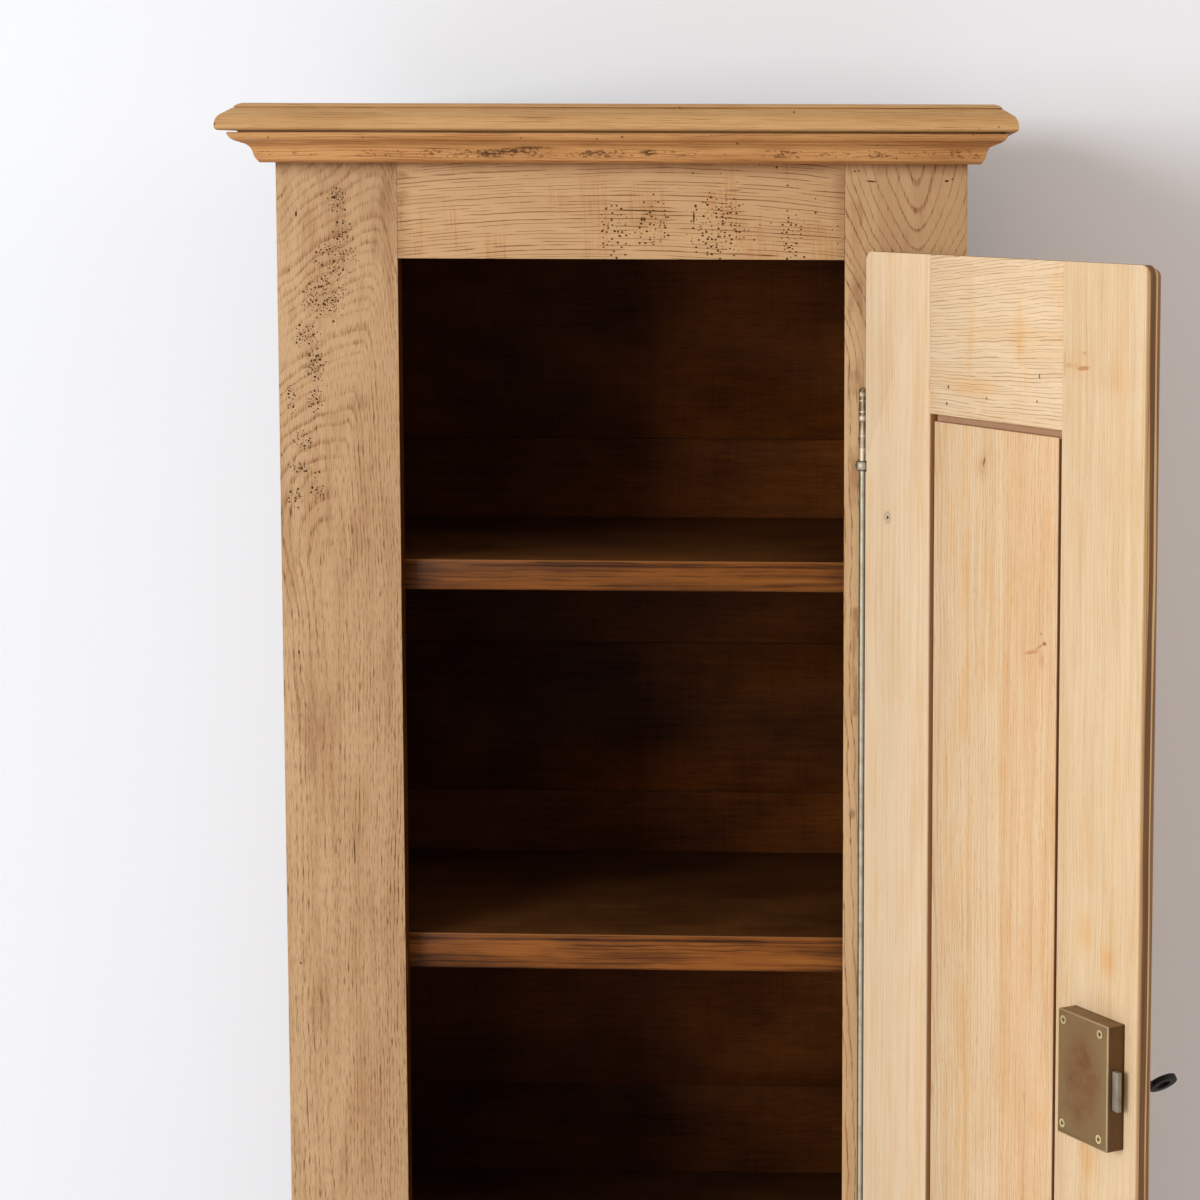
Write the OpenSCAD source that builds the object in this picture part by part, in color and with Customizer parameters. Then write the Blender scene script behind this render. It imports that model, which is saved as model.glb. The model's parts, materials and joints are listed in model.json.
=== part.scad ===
// Single-door oak linen cabinet, shown with its door standing open.
// Millimetres. X runs across the face, Y runs back from the front of the face frame, Z is up from the floor.
// The door's own frame has its zero at the bottom of the hinge-side edge, on the inner face:
// minus X runs to the free edge, minus Y runs through the wood to the outer face.

/* [Body] */
// Width of the body across the face frame
body_w = 690; // [660:5:740]
// Height from the floor to the top of the cornice
total_h = 1850; // [1780:10:1950]
// Depth of the body from the face to the rear of the back boards
body_d = 436; // [400:2:480]
// Clear height under the bottom rails
foot_h = 120; // [80:5:160]

/* [Face frame] */
// Width of each face stile
face_stile_w = 121.3; // [105:0.1:130]
// Thickness of the face frame
face_t = 24; // [22:0.5:30]
// Height of the top rail that shows under the crown moulding
top_rail_show = 95; // [75:1:115]
// Height of the bottom rails, front and sides
bottom_rail_h = 128; // [100:1:160]

/* [Cornice] */
// Thickness of the cornice board
cornice_t = 27; // [24:0.5:34]
// How far the cornice board stands out at the front and sides
cornice_over = 49.9; // [46:0.1:60]
// Width of the cornice board's moulded edge
cornice_edge_w = 24; // [20:0.5:26]
// Depth of the quirk in the cornice board's edge, below its top
cornice_quirk = 4.4; // [3:0.1:6]
// Radius under the cornice board's edge
cornice_under_r = 3.6; // [2:0.2:5]
// Height of the crown moulding under the cornice board
crown_h = 31.5; // [28:0.5:38]
// How far the crown moulding stands out at its top
crown_top = 39.8; // [37:0.1:43]
// How far the crown moulding stands out at its bottom
crown_foot = 13; // [10:0.5:16]
// Height of the shadow gap between the cornice board and the crown moulding
crown_gap = 1.8; // [1:0.1:3]

/* [Sides] */
// Thickness of the side frames
side_t = 22; // [20:0.5:26]
// Width of the side frames' stiles
side_stile_w = 72; // [60:1:90]
// Height of the side frames' top rail
side_top_rail_h = 150; // [120:5:180]
// Height of the side frames' middle rail
side_mid_rail_h = 90; // [70:5:120]
// Distance of the middle rail's centre below the top of the body
side_mid_drop = 838; // [740:2:900]
// Thickness of a side panel at its tongue
side_tongue_t = 6; // [4:0.5:8]
// How far the field of a side panel is raised
side_field_t = 3.5; // [2:0.5:5]

/* [Back] */
// Thickness of the back boards
back_t = 14; // [10:0.5:18]
// Width of the upper back boards
back_wide = 234; // [200:1:260]
// Width of the three back boards under them
back_narrow = 173; // [150:1:180]
// Depth of the first back joint that shows, below the top of the door opening
back_first_joint = 216.5; // [150:0.5:230]
// Overlap of neighbouring back boards
back_lap = 10; // [6:1:14]
// Depth of the rebate that the back boards end in, measured across the rear stile
back_rebate = 12; // [8:1:16]
// Diameter of a back nail's head
nail_head_d = 7; // [5:0.5:9]
// Diameter of a back nail's shank
nail_d = 2.4; // [2:0.1:3]

/* [Shelves] */
// Thickness of the first shelf from the top
shelf_1_t = 30.9; // [24:0.1:40]
// Thickness of the second shelf
shelf_2_t = 36.5; // [24:0.1:40]
// Thickness of the third shelf
shelf_3_t = 33; // [24:0.5:40]
// Top of the first shelf below the top of the door opening
shelf_1_drop = 306; // [250:1:340]
// Top of the second shelf below the top of the first
shelf_2_drop = 387.5; // [340:0.5:420]
// Top of the third shelf below the top of the second
shelf_3_drop = 378; // [330:1:410]
// Thickness of the cabinet's floor
floor_t = 20; // [16:1:26]
// Width of the cleats that the shelves lie on
cleat_w = 18; // [14:1:24]
// Height of the cleats
cleat_h = 30; // [22:1:40]
// How far the cleats stop short of the face frame and the back
cleat_set = 14; // [8:1:30]

/* [Joinery] */
// Thickness of the frame tenons
tenon_t = 9; // [7:0.5:11]
// Length of the frame tenons
tenon_l = 40; // [30:1:50]
// Shoulder above and below a tenon
tenon_shoulder = 15; // [12:1:20]
// Depth of the grooves that the panels stand in
groove_d = 9; // [7:0.5:12]
// Clearance around tenons, tongues and loose boards
fit_gap = 0.2; // [0.1:0.05:0.3]
// Gap between a raised field and the frame around it
field_gap = 0.5; // [0.3:0.1:1]

/* [Door] */
// How far the door laps the face frame at each side
door_lap = 11.4; // [9:0.1:15]
// How far the door laps the face frame at top and bottom
door_lap_v = 9.1; // [6:0.1:14]
// Thickness of the door
door_t = 24; // [23:0.5:28]
// Width of the door's hinge stile
door_hinge_stile_w = 118.7; // [105:0.1:130]
// Width of the door's lock stile
door_lock_stile_w = 128; // [120:0.5:140]
// Height of the door's top rail
door_top_rail_h = 152.9; // [130:0.1:180]
// Height of the door's bottom rail
door_bottom_rail_h = 190; // [160:5:220]
// Radius of the door's corners
door_corner_r = 10; // [7:0.5:13]
// Gap between the closed door and the face frame
door_face_gap = 0.5; // [0.3:0.1:1]
// Angle that the door stands open, from closed
door_open = 122.9; // [100:0.1:125]
// Thickness of the door's square edge, behind its moulding
edge_flat = 9; // [8:0.5:11]
// Step between the square edge and the moulding
edge_step = 2; // [1:0.5:3]
// Width of the door's edge moulding
edge_w = 16; // [13:0.5:18]
// Height of the fillet at the outer face
edge_fillet_h = 3; // [2:0.5:4]
// Width of the fillet at the outer face
edge_fillet_w = 2.5; // [1.5:0.5:4]
// Chamfer around the panel on the outer face
door_chamfer = 6; // [4:0.5:7]

/* [Door panel] */
// Thickness of the door panel's tongue
door_tongue_t = 5; // [4:0.5:6]
// Depth of the tongue below the door's inner face
door_tongue_in = 9.2; // [8.5:0.1:10]
// How far the panel's inner field lies below the inner face
panel_sink = 1.2; // [0.6:0.1:3]
// Width of the open groove around the panel's inner field
panel_groove_w = 7; // [4:0.5:12]
// How far the panel's outer field is raised
panel_field_t = 5; // [3:0.5:6]
// Width of the bevel around a panel's raised field
panel_bevel_w = 34; // [20:1:45]

/* [Hinge] */
// Distance from the door's hinge edge to the hinge axis
hinge_gap = 7.5; // [7.2:0.1:9]
// Distance of the hinge axis in front of the face frame
hinge_proud = 2; // [1.5:0.1:3]
// Diameter of the long hinge rod
rod_d = 7; // [6:0.1:8]
// Diameter of the ball collars
ball_d = 14.2; // [10:0.1:15]
// Height of the ball collars
ball_h = 9.3; // [7:0.1:10]
// Radius, about the hinge axis, of the notches in the door's edge beside the ball collars
ball_notch_r = 9.6; // [8.6:0.1:11]
// Distance of each ball's centre from the door's top or bottom edge
ball_inset = 213.9; // [180:0.1:240]
// Length of each turned finial
finial_l = 72.8; // [70:0.1:80]
// Diameter of the hinge pins
pin_d = 4; // [3.4:0.1:4.4]
// Length of the hinge pins
pin_l = 25; // [20:1:40]
// Radial running clearance of pins and shafts
running_gap = 0.05; // [0.03:0.01:0.08]
// Thickness of the hinge leaves
leaf_t = 2.2; // [1.8:0.1:2.6]
// Height of the door leaves
leaf_h = 72; // [60:1:90]
// Depth of the door leaves in the stile
leaf_w = 52; // [46:1:60]
// Depth of a door leaf below the door's inner face
leaf_in = 5.5; // [4.5:0.1:6.5]
// Height of the leaf that holds a finial to the face frame
frame_leaf_h = 42; // [30:1:46]
// Depth of the leaf that holds a finial to the face frame
frame_leaf_w = 19; // [14:1:20]
// Distance of a leaf's screw from the door's edge
leaf_screw_in = 42.3; // [36:0.1:44]
// Diameter of the heads of the leaf screws
leaf_screw_d = 8; // [5:0.5:9]
// Distance of a leaf's screw from the end of the leaf beside the ball
leaf_screw_down = 41.5; // [30:0.5:50]

/* [Lock] */
// Width of the lock case
lock_w = 76.5; // [74:0.5:84]
// Height of the lock case
lock_h = 115; // [105:1:125]
// Depth of the lock case
lock_d = 19; // [16:0.5:20]
// Wall of the lock case
lock_wall = 1.5; // [1.2:0.1:2]
// Distance from the lock case to the door's free edge
lock_inset = 20.2; // [18:0.1:24]
// Height of the bolt
bolt_h = 36; // [32:0.5:38]
// Thickness of the bolt
bolt_t = 4.3; // [3:0.1:4.6]
// Depth of the bolt's inner side above the door's inner face
bolt_in = 8.7; // [8:0.1:9]
// How far the bolt stands out of the case as the key stands
bolt_out = 8; // [5:0.1:8]
// How far the key throws the bolt from there
bolt_throw = 12; // [8:0.5:12]
// How far the bolt draws back when the key stands straight
bolt_back = 2; // [1:0.1:3]
// Distance of the bolt's centre below the case's centre
bolt_low = 1.4; // [0:0.1:3]
// Distance of the key below the case's centre
key_low = 10; // [9:0.1:12]
// Distance of the key from the case's free side
key_in = 22; // [20:0.5:24]
// Diameter of the lock screws' heads
lock_screw_head = 8; // [6:0.1:8.4]
// Diameter of the lock screws' shanks
lock_screw_d = 3.6; // [3:0.1:4]
// Length of the lock screws
lock_screw_l = 30; // [26:1:34]
// Distance of the lock screws from the top and bottom of the case
lock_screw_z = 9.4; // [8:0.1:11]
// Distance of the inner screws from the case's hinge side
lock_screw_hinge_x = 7.2; // [6.5:0.1:9]
// Distance of the outer screws from the case's free side
lock_screw_free_x = 12.5; // [9:0.1:13]

/* [Key] */
// Diameter of the key's shank
key_d = 6; // [5:0.1:6.4]
// Reach of the key's bit from its axis
key_bit_r = 8.5; // [7.5:0.1:9]
// Thickness of the key's bit
key_bit_t = 3; // [2:0.1:3.4]
// Distance from the door's inner face to the end of the key's bow
key_reach = 71.7; // [68:0.1:90]
// Length of the key's bow
bow_l = 26; // [20:0.5:28]
// Width of the key's bow
bow_w = 29; // [22:0.5:32]
// Thickness of the key's bow
bow_t = 4.8; // [3:0.1:5]
// Width of the metal around the key's bow
bow_rim = 6.8; // [3:0.1:8]
// Angle that the key stands turned from straight down
key_turned = 50; // [0:1:60]
// Width of the escutcheon
plate_w = 23; // [18:0.5:25]
// Height of the escutcheon
plate_h = 46; // [40:1:56]
// Thickness of the escutcheon
plate_t = 1.4; // [1:0.1:2]

/* [Hidden] */
$fn = 48;
back_count = 10;
body_top = total_h - cornice_t;
opening_top = body_top - crown_h - top_rail_show;
opening_bottom = foot_h + bottom_rail_h;
opening_w = body_w - 2 * face_stile_w;
opening_h = opening_top - opening_bottom;
side_in = body_w / 2 - side_t;
back_front = body_d - back_t;
inner_w = 2 * side_in - 2 * fit_gap;
side_y0 = face_t + side_stile_w;
side_y1 = body_d - side_stile_w;
side_mid_x = side_in + side_t / 2;
side_mid_low = body_top - side_mid_drop - side_mid_rail_h / 2;
side_mid_high = side_mid_low + side_mid_rail_h;
side_top_low = body_top - side_top_rail_h;
side_tenon_l = min(tenon_l, side_stile_w - 32);
door_w = opening_w + 2 * door_lap;
door_h = opening_h + 2 * door_lap_v;
door_z = opening_bottom - door_lap_v;
axis_x = opening_w / 2 + door_lap + hinge_gap;
axis_y = -hinge_proud;
panel_x1 = -door_hinge_stile_w;
panel_x0 = -door_w + door_lock_stile_w;
panel_z0 = door_bottom_rail_h;
panel_z1 = door_h - door_top_rail_h;
key_x = -lock_w / 2 + key_in;
bolt_end = lock_w / 2 - lock_wall - bolt_back - 5;
stud_x = bolt_end - bolt_throw - 6;
stud_z = 8;
stud_r = 2;
spring_t = 0.6;
spring_l = 26;
spring_x = key_x;
spring_rest = 0.25;
spring_rise = lock_d - lock_wall - bolt_in - bolt_t - 2 * spring_rest;
chan_r = rod_d / 2 + 0.8;
bead_r = 0.63 * rod_d + 0.4;
shelf_z = [opening_top - shelf_1_drop,
           opening_top - shelf_1_drop - shelf_2_drop,
           opening_top - shelf_1_drop - shelf_2_drop - shelf_3_drop,
           opening_bottom];
shelf_t = [shelf_1_t, shelf_2_t, shelf_3_t, floor_t];
back_low = foot_h + fit_gap;
back_top_joint = opening_top - back_first_joint + back_wide;
back_low_joint = back_top_joint - 2 * back_wide - 3 * back_narrow;
// Heights of the back boards' upper edges from the top down; the last four share what is left equally
back_joint = concat([body_top],
                    [for (i = [0:2]) back_top_joint - i * back_wide],
                    [for (i = [1:3]) back_top_joint - 2 * back_wide - i * back_narrow],
                    [for (i = [1:3]) back_low_joint + (back_low - back_low_joint) * i / 4]);

// Points on an elliptical arc from angle a0 to a1, in n steps
function arc(cx, cy, rx, ry, a0, a1, n = 10) =
    [for (i = [0:n]) [cx + rx * cos(a0 + (a1 - a0) * i / n), cy + ry * sin(a0 + (a1 - a0) * i / n)]];
function oval(cx, cy, rx, ry, n) =
    [for (i = [0:n - 1]) [cx + rx * cos(360 * i / n), cy + ry * sin(360 * i / n)]];
function backwards(p) = [for (i = [len(p) - 1:-1:0]) p[i]];

// Extrusions along each axis: along_x takes (y, z) shapes, along_y takes (x, z), along_z takes (x, y)
module along_x(x0, length) translate([x0, 0, 0]) rotate([90, 0, 90]) linear_extrude(length) children();
module along_y(y0, length) translate([0, y0 + length, 0]) rotate([90, 0, 0]) linear_extrude(length) children();
module along_z(z0, length) translate([0, 0, z0]) linear_extrude(length) children();

// A box from its lowest to its highest corner
module block(low, high) translate(low) cube(high - low);

// Puts right-hand pieces on the left
module sided(side) mirror([side == "left" ? 1 : 0, 0, 0]) children();

// Face frame

// Tenon zone of a rail between z0 and z1, as seen on the right-hand end that starts at x0
module face_tenon(x0, z0, z1, gap)
    block([x0, face_t / 2 - tenon_t / 2 - gap, z0 + tenon_shoulder - gap],
          [x0 + tenon_l + gap, face_t / 2 + tenon_t / 2 + gap, z1 - tenon_shoulder + gap]);

module face_stile() {
    difference() {
        block([opening_w / 2, 0, 0], [body_w / 2, face_t, body_top]);
        face_tenon(opening_w / 2, opening_top, body_top, fit_gap);
        face_tenon(opening_w / 2, foot_h, opening_bottom, fit_gap);
    }
}

module bolt_mortise() {
    bolt_y = -door_face_gap + bolt_in;
    bolt_mid = opening_bottom + opening_h / 2 - bolt_low;
    block([-opening_w / 2 - 14, bolt_y - 0.5, bolt_mid - bolt_h / 2 - 1],
          [-opening_w / 2 + 1, bolt_y + bolt_t + 0.5, bolt_mid + bolt_h / 2 + 1]);
}

module face_stile_left() color("burlywood") difference() {
    sided("left") face_stile();
    bolt_mortise();
}

// Scoops in the right stile's face that the rod, balls and finials turn and stand in
module hinge_scoops() translate([axis_x, axis_y, 0]) {
    low = door_z + ball_inset;
    high = door_z + door_h - ball_inset;
    translate([0, 0, low]) cylinder(r = chan_r, h = high - low);
    for (end = [0, 1]) hinge_end(end) {
        intersection() {
            sphere(r = ball_d / 2 + 0.7);
            translate([0, 0, -ball_h / 2 - 0.6]) cylinder(r = ball_d / 2 + 1, h = ball_h + 1);
        }
        cylinder(r = bead_r, h = finial_l + ball_h / 2 - 3.5);
        translate([0, 0, finial_l + ball_h / 2 - 3.5]) sphere(r = bead_r);
        block([-leaf_t / 2 - fit_gap, 0, ball_h / 2],
              [leaf_t / 2 + fit_gap, hinge_proud + frame_leaf_w + fit_gap,
               ball_h / 2 + frame_leaf_h + 2 * fit_gap]);
    }
}

// Puts a piece of the top hinge end, drawn from the ball's centre upwards, at the top (1) or bottom (0)
module hinge_end(end)
    translate([0, 0, door_z + (end == 1 ? door_h - ball_inset : ball_inset)])
        mirror([0, 0, 1 - end]) children();

module face_stile_right() color("burlywood") difference() {
    face_stile();
    hinge_scoops();
}

module face_rail(z0, z1) {
    block([-opening_w / 2, 0, z0], [opening_w / 2, face_t, z1]);
    for (side = ["left", "right"]) sided(side) face_tenon(opening_w / 2 - 1, z0, z1, 0);
}

module face_rail_top() color("wheat") face_rail(opening_top, body_top);
module face_rail_bottom() color("wheat") face_rail(foot_h, opening_bottom);

// Side frames, drawn for the right-hand side

module side_tenon(z0, z1, gap)
    block([side_mid_x - tenon_t / 2 - gap, side_y0 - side_tenon_l - gap, z0 + tenon_shoulder - gap],
          [side_mid_x + tenon_t / 2 + gap, side_y1 + side_tenon_l + gap, z1 - tenon_shoulder + gap]);

module side_tenons(gap) {
    side_tenon(foot_h, opening_bottom, gap);
    side_tenon(side_mid_low, side_mid_high, gap);
    side_tenon(side_top_low, body_top, gap);
}

// The space of a panel's tongue between z0 and z1
module side_tongue(z0, z1, gap)
    block([side_mid_x - side_tongue_t / 2 - gap, side_y0 - groove_d - gap, z0 - groove_d - gap],
          [side_mid_x + side_tongue_t / 2 + gap, side_y1 + groove_d + gap, z1 + groove_d + gap]);

module side_grooves() {
    side_tongue(opening_bottom, side_mid_low, fit_gap);
    side_tongue(side_mid_high, side_top_low, fit_gap);
}

module side_front_stile(side) color("tan") sided(side) difference() {
    block([side_in, face_t, 0], [body_w / 2, side_y0, body_top]);
    side_tenons(fit_gap);
    side_grooves();
}

module side_rear_stile(side) color("tan") sided(side) difference() {
    block([side_in, side_y1, 0], [body_w / 2, body_d, body_top]);
    side_tenons(fit_gap);
    side_grooves();
    block([side_in - 1, back_front, back_low - fit_gap], [side_in + back_rebate, body_d + 1, body_top + 1]);
    back_nail_holes();
}

module side_rail(side, z0, z1) color("tan") sided(side) difference() {
    union() {
        block([side_in, side_y0, z0], [body_w / 2, side_y1, z1]);
        side_tenon(z0, z1, 0);
    }
    side_grooves();
}

module side_panel(side, z0, z1) color("peru") sided(side) {
    clear = groove_d - 2 * fit_gap;
    outer = side_mid_x + side_tongue_t / 2;
    block([side_mid_x - side_tongue_t / 2, side_y0 - clear, z0 - clear], [outer, side_y1 + clear, z1 + clear]);
    translate([outer, (side_y0 + side_y1) / 2, (z0 + z1) / 2]) rotate([0, 0, 90])
        field(side_y1 - side_y0 - 2 * field_gap, z1 - z0 - 2 * field_gap, side_field_t);
}

// Raised field with bevelled sides, standing out along minus Y from the tongue that its root lies in
module field(w, h, raise) {
    root = side_tongue_t / 3;
    intersection() {
        along_z(-h / 2, h) field_section(w, root, raise);
        along_x(-w / 2, w) rotate([0, 0, -90]) mirror([1, 0, 0]) field_section(h, root, raise);
    }
}

module field_section(w, root, raise)
    polygon([[-w / 2, root], [w / 2, root], [w / 2, 0], [w / 2 - panel_bevel_w, -raise],
             [panel_bevel_w - w / 2, -raise], [-w / 2, 0]]);

// Back

// Laps: each board's lower edge covers the upper edge of the next from behind
module back_board(i) color("saddlebrown") difference() {
    z1 = back_joint[i - 1];
    z0 = i == back_count ? back_low : back_joint[i];
    half = side_in + back_rebate - fit_gap;
    union() {
        block([-half, back_front, z0 + fit_gap], [half, body_d, z1 - (i == 1 ? 0 : fit_gap)]);
        if (i < back_count)
            block([-half, back_front + back_t / 2 + fit_gap, z0 - back_lap], [half, body_d, z0 + 1]);
    }
    if (i > 1)
        block([-half - 1, back_front + back_t / 2, z1 - back_lap - fit_gap], [half + 1, body_d + 1, z1 + 1]);
    for (side = ["left", "right"]) sided(side) back_nail_holes();
}

// Nails near the top and bottom of each board, drawn for the right-hand side
module at_back_nails() for (i = [1:back_count]) {
    z1 = back_joint[i - 1];
    z0 = i == back_count ? back_low : back_joint[i];
    for (z = [z0 + back_lap + 12, z1 - back_lap - 14])
        translate([side_in + back_rebate / 2, body_d, z]) rotate([90, 0, 0]) children();
}

module back_nail(gap) {
    translate([0, 0, -gap]) cylinder(d = nail_head_d + 2 * gap, h = 1.2 + gap);
    cylinder(d = nail_d + 2 * gap, h = back_t + 16 + gap);
}

module back_nail_holes() at_back_nails() back_nail(fit_gap / 2);

module back_nails() color("dimgray") for (side = ["left", "right"]) sided(side) at_back_nails() back_nail(0);

// Shelves

module shelf(i) color("sienna")
    block([-inner_w / 2, face_t + fit_gap, shelf_z[i] - shelf_t[i]],
          [inner_w / 2, back_front - fit_gap, shelf_z[i]]);

module shelf_cleats(side) color("sienna") sided(side) for (i = [0:3])
    block([side_in - cleat_w, face_t + cleat_set, shelf_z[i] - shelf_t[i] - cleat_h],
          [side_in, back_front - cleat_set, shelf_z[i] - shelf_t[i]]);

// Cornice

// Right-hand edge of the cornice board from its top down, in (outward, up), with the tip at x0
function cornice_edge(x0) =
    let (w = cornice_edge_w, z = total_h - cornice_quirk)
    concat([[x0 - w, total_h], [x0 - 0.83 * w, total_h - 1], [x0 - 0.67 * w, z + 1], [x0 - 0.71 * w, z],
            [x0 - 0.61 * w, z - 1]],
           arc(x0 - w / 3, body_top + cornice_under_r, w / 3, cornice_t - cornice_under_r - cornice_quirk - 6,
               68, 0, 10),
           arc(x0 - cornice_under_r, body_top + cornice_under_r, cornice_under_r, cornice_under_r, -15, -90, 5));

module cornice_board() color("tan") {
    half = body_w / 2 + cornice_over;
    edge = cornice_edge(half);
    front = cornice_edge(cornice_over);
    intersection() {
        along_y(-cornice_over, body_d + cornice_over)
            polygon(concat([for (p = edge) p], [for (p = backwards(edge)) [-p[0], p[1]]]));
        along_x(-half, 2 * half)
            polygon(concat([[body_d, total_h]], [for (p = front) [-p[0], p[1]]], [[body_d, body_top]]));
    }
}

// Outline of the crown moulding, in (outward, up), with its back on zero
function crown_outline() = concat(
    [[0, body_top - crown_h], [0, body_top]],
    [[crown_top - 9, body_top], [crown_top - 9, body_top - crown_gap]],
    arc(crown_top - 15, body_top - crown_gap, 15, 0.32 * crown_h, 0, -75, 8),
    arc(crown_top - 10, body_top - 0.76 * crown_h, 11.5, 0.38 * crown_h, 95, 170, 8),
    [[crown_top - 22.4, body_top - 0.81 * crown_h], [crown_top - 24, body_top - 0.895 * crown_h],
     [crown_foot + 1.2, body_top - 0.955 * crown_h], [crown_foot, body_top - crown_h]]);

module crown_front() color("peru") intersection() {
    half = body_w / 2 + cornice_over;
    along_x(-half, 2 * half) polygon([for (p = crown_outline()) [-p[0], p[1]]]);
    along_z(body_top - crown_h, crown_h)
        polygon([[-body_w / 2, 0], [body_w / 2, 0], [half, -cornice_over], [-half, -cornice_over]]);
}

module crown_side(side) color("peru") sided(side) intersection() {
    half = body_w / 2 + cornice_over;
    along_y(-cornice_over, body_d + cornice_over) translate([body_w / 2, 0]) polygon(crown_outline());
    along_z(body_top - crown_h, crown_h)
        polygon([[body_w / 2, 0], [half, -cornice_over], [half, body_d], [body_w / 2, body_d]]);
}

// Door

// Puts the door's own frame in place, turned open about the hinge axis
module on_door() translate([axis_x, axis_y, 0]) rotate([0, 0, door_open])
    translate([-hinge_gap, hinge_proud - door_face_gap, door_z]) children();

// Moulded edge of the door, in (x, y), from the inner face to the outer one
function door_edge() = concat(
    [[0, 0], [0, -edge_flat]],
    arc(edge_fillet_w - edge_w, -edge_flat, edge_w - edge_fillet_w - edge_step,
        door_t - edge_fillet_h - edge_flat, 0, -90, 10),
    [[-edge_w, edge_fillet_h - door_t], [-edge_w, -door_t]]);

// The whole door as one board with its moulded edge and rounded corners
module door_blank() {
    edge = door_edge();
    r = door_corner_r;
    difference() {
        intersection() {
            along_z(0, door_h) polygon(concat(edge, [for (p = backwards(edge)) [-door_w - p[0], p[1]]]));
            along_x(-door_w, door_w) polygon(concat([for (p = edge) [p[1], -p[0]]],
                [for (p = backwards(edge)) [p[1], door_h + p[0]]]));
        }
        for (x = [-r, -door_w - 1]) for (z = [-1, door_h - r])
            block([x, -door_t - 1, z], [x + r + 1, 1, z + r + 1]);
    }
    for (x = [-r, -door_w + r]) for (z = [r, door_h - r]) intersection() {
        translate([x, 0, z]) rotate([90, 0, 0]) mirror([0, 0, 1]) rotate_extrude() intersection() {
            translate([r, 0]) polygon(concat(edge, [[-2 * r, -door_t], [-2 * r, 0]]));
            translate([0, -door_t]) square([r, door_t]);
        }
        block([x == -r ? -r : -door_w, -door_t, z == r ? 0 : door_h - r],
              [x == -r ? 0 : -door_w + r, 0, z == r ? r : door_h]);
    }
}

// The slot that takes the panel's tongue, and the chamfer around the panel on the outer face
module panel_cuts() {
    block([panel_x0 - groove_d, -door_tongue_in - door_tongue_t - fit_gap, panel_z0 - groove_d],
          [panel_x1 + groove_d, -door_tongue_in + fit_gap, panel_z1 + groove_d]);
    w = panel_x1 - panel_x0 + 2 * door_chamfer;
    h = panel_z1 - panel_z0 + 2 * door_chamfer;
    c = door_chamfer;
    translate([(panel_x0 + panel_x1) / 2, -door_t, (panel_z0 + panel_z1) / 2]) intersection() {
        along_z(-h / 2, h) polygon([[-w / 2, 0], [w / 2, 0], [w / 2 - c, c], [c - w / 2, c]]);
        along_x(-w / 2, w) polygon([[0, -h / 2], [0, h / 2], [c, h / 2 - c], [c, c - h / 2]]);
    }
}

module door_tenon(z0, z1, gap)
    block([panel_x0 - tenon_l - gap, -door_t / 2 - tenon_t / 2 - gap, z0 - gap],
          [panel_x1 + tenon_l + gap, -door_t / 2 + tenon_t / 2 + gap, z1 + gap]);

module door_tenons(gap) {
    door_tenon(edge_w + tenon_shoulder, panel_z0 - groove_d - 1, gap);
    door_tenon(panel_z1 + groove_d + 1, door_h - edge_w - tenon_shoulder, gap);
}

// Slots in the hinge stile's edge for the two leaves, and the holes of their screws
module leaf_cuts() for (end = [0, 1]) door_end(end) {
    block([-leaf_w - fit_gap, -leaf_in - leaf_t / 2 - fit_gap, -leaf_h - fit_gap],
          [1, -leaf_in + leaf_t / 2 + fit_gap, fit_gap]);
    leaf_screw(fit_gap / 2);
}

// Puts a door leaf, drawn downwards from its top, at the top (1) or bottom (0) of the door
module door_end(end)
    translate([0, 0, end == 1 ? door_h - ball_inset - ball_h / 2 - 1 : ball_inset + ball_h / 2 + 1])
        mirror([0, 0, 1 - end]) children();

module leaf_screw(gap) translate([-leaf_screw_in, 0, -leaf_screw_down]) rotate([90, 0, 0]) {
    translate([0, 0, gap > 0 ? -1 : 0]) cylinder(d = leaf_screw_d + 2 * gap, h = 1.2 + (gap > 0 ? 1 : 0) + gap);
    cylinder(d = 3 + 2 * gap, h = 15 + gap);
}

module door_hinge_stile() color("navajowhite") on_door() difference() {
    intersection() {
        door_blank();
        block([panel_x1, -door_t - 1, -1], [1, 1, door_h + 1]);
    }
    panel_cuts();
    door_tenons(fit_gap);
    leaf_cuts();
    for (z = [ball_inset, door_h - ball_inset])
        translate([hinge_gap, door_face_gap - hinge_proud, z - ball_h / 2 - 0.8])
            cylinder(r = ball_notch_r, h = ball_h + 1.6);
}

module door_lock_stile() color("navajowhite") on_door() difference() {
    intersection() {
        door_blank();
        block([-door_w - 1, -door_t - 1, -1], [panel_x0, 1, door_h + 1]);
    }
    panel_cuts();
    door_tenons(fit_gap);
    on_lock() {
        lock_screws_at(fit_gap / 2);
        translate([key_x, 1, -key_low]) rotate([90, 0, 0]) keyhole(key_d / 2 + 0.6, door_t + 2);
        escutcheon_nails_at(fit_gap / 2);
    }
}

module door_rail(z0, z1, tenon_z0, tenon_z1) {
    difference() {
        intersection() {
            door_blank();
            block([panel_x0, -door_t - 1, z0], [panel_x1, 1, z1]);
        }
        panel_cuts();
    }
    difference() {
        door_tenon(tenon_z0, tenon_z1, 0);
        block([panel_x0 + 1, -door_t, z0 - 1], [panel_x1 - 1, 0, z1 + 1]);
    }
}

module door_top_rail() color("navajowhite") on_door()
    door_rail(panel_z1, door_h + 1, panel_z1 + groove_d + 1, door_h - edge_w - tenon_shoulder);

module door_bottom_rail() color("navajowhite") on_door()
    door_rail(-1, panel_z0, edge_w + tenon_shoulder, panel_z0 - groove_d - 1);

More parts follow.
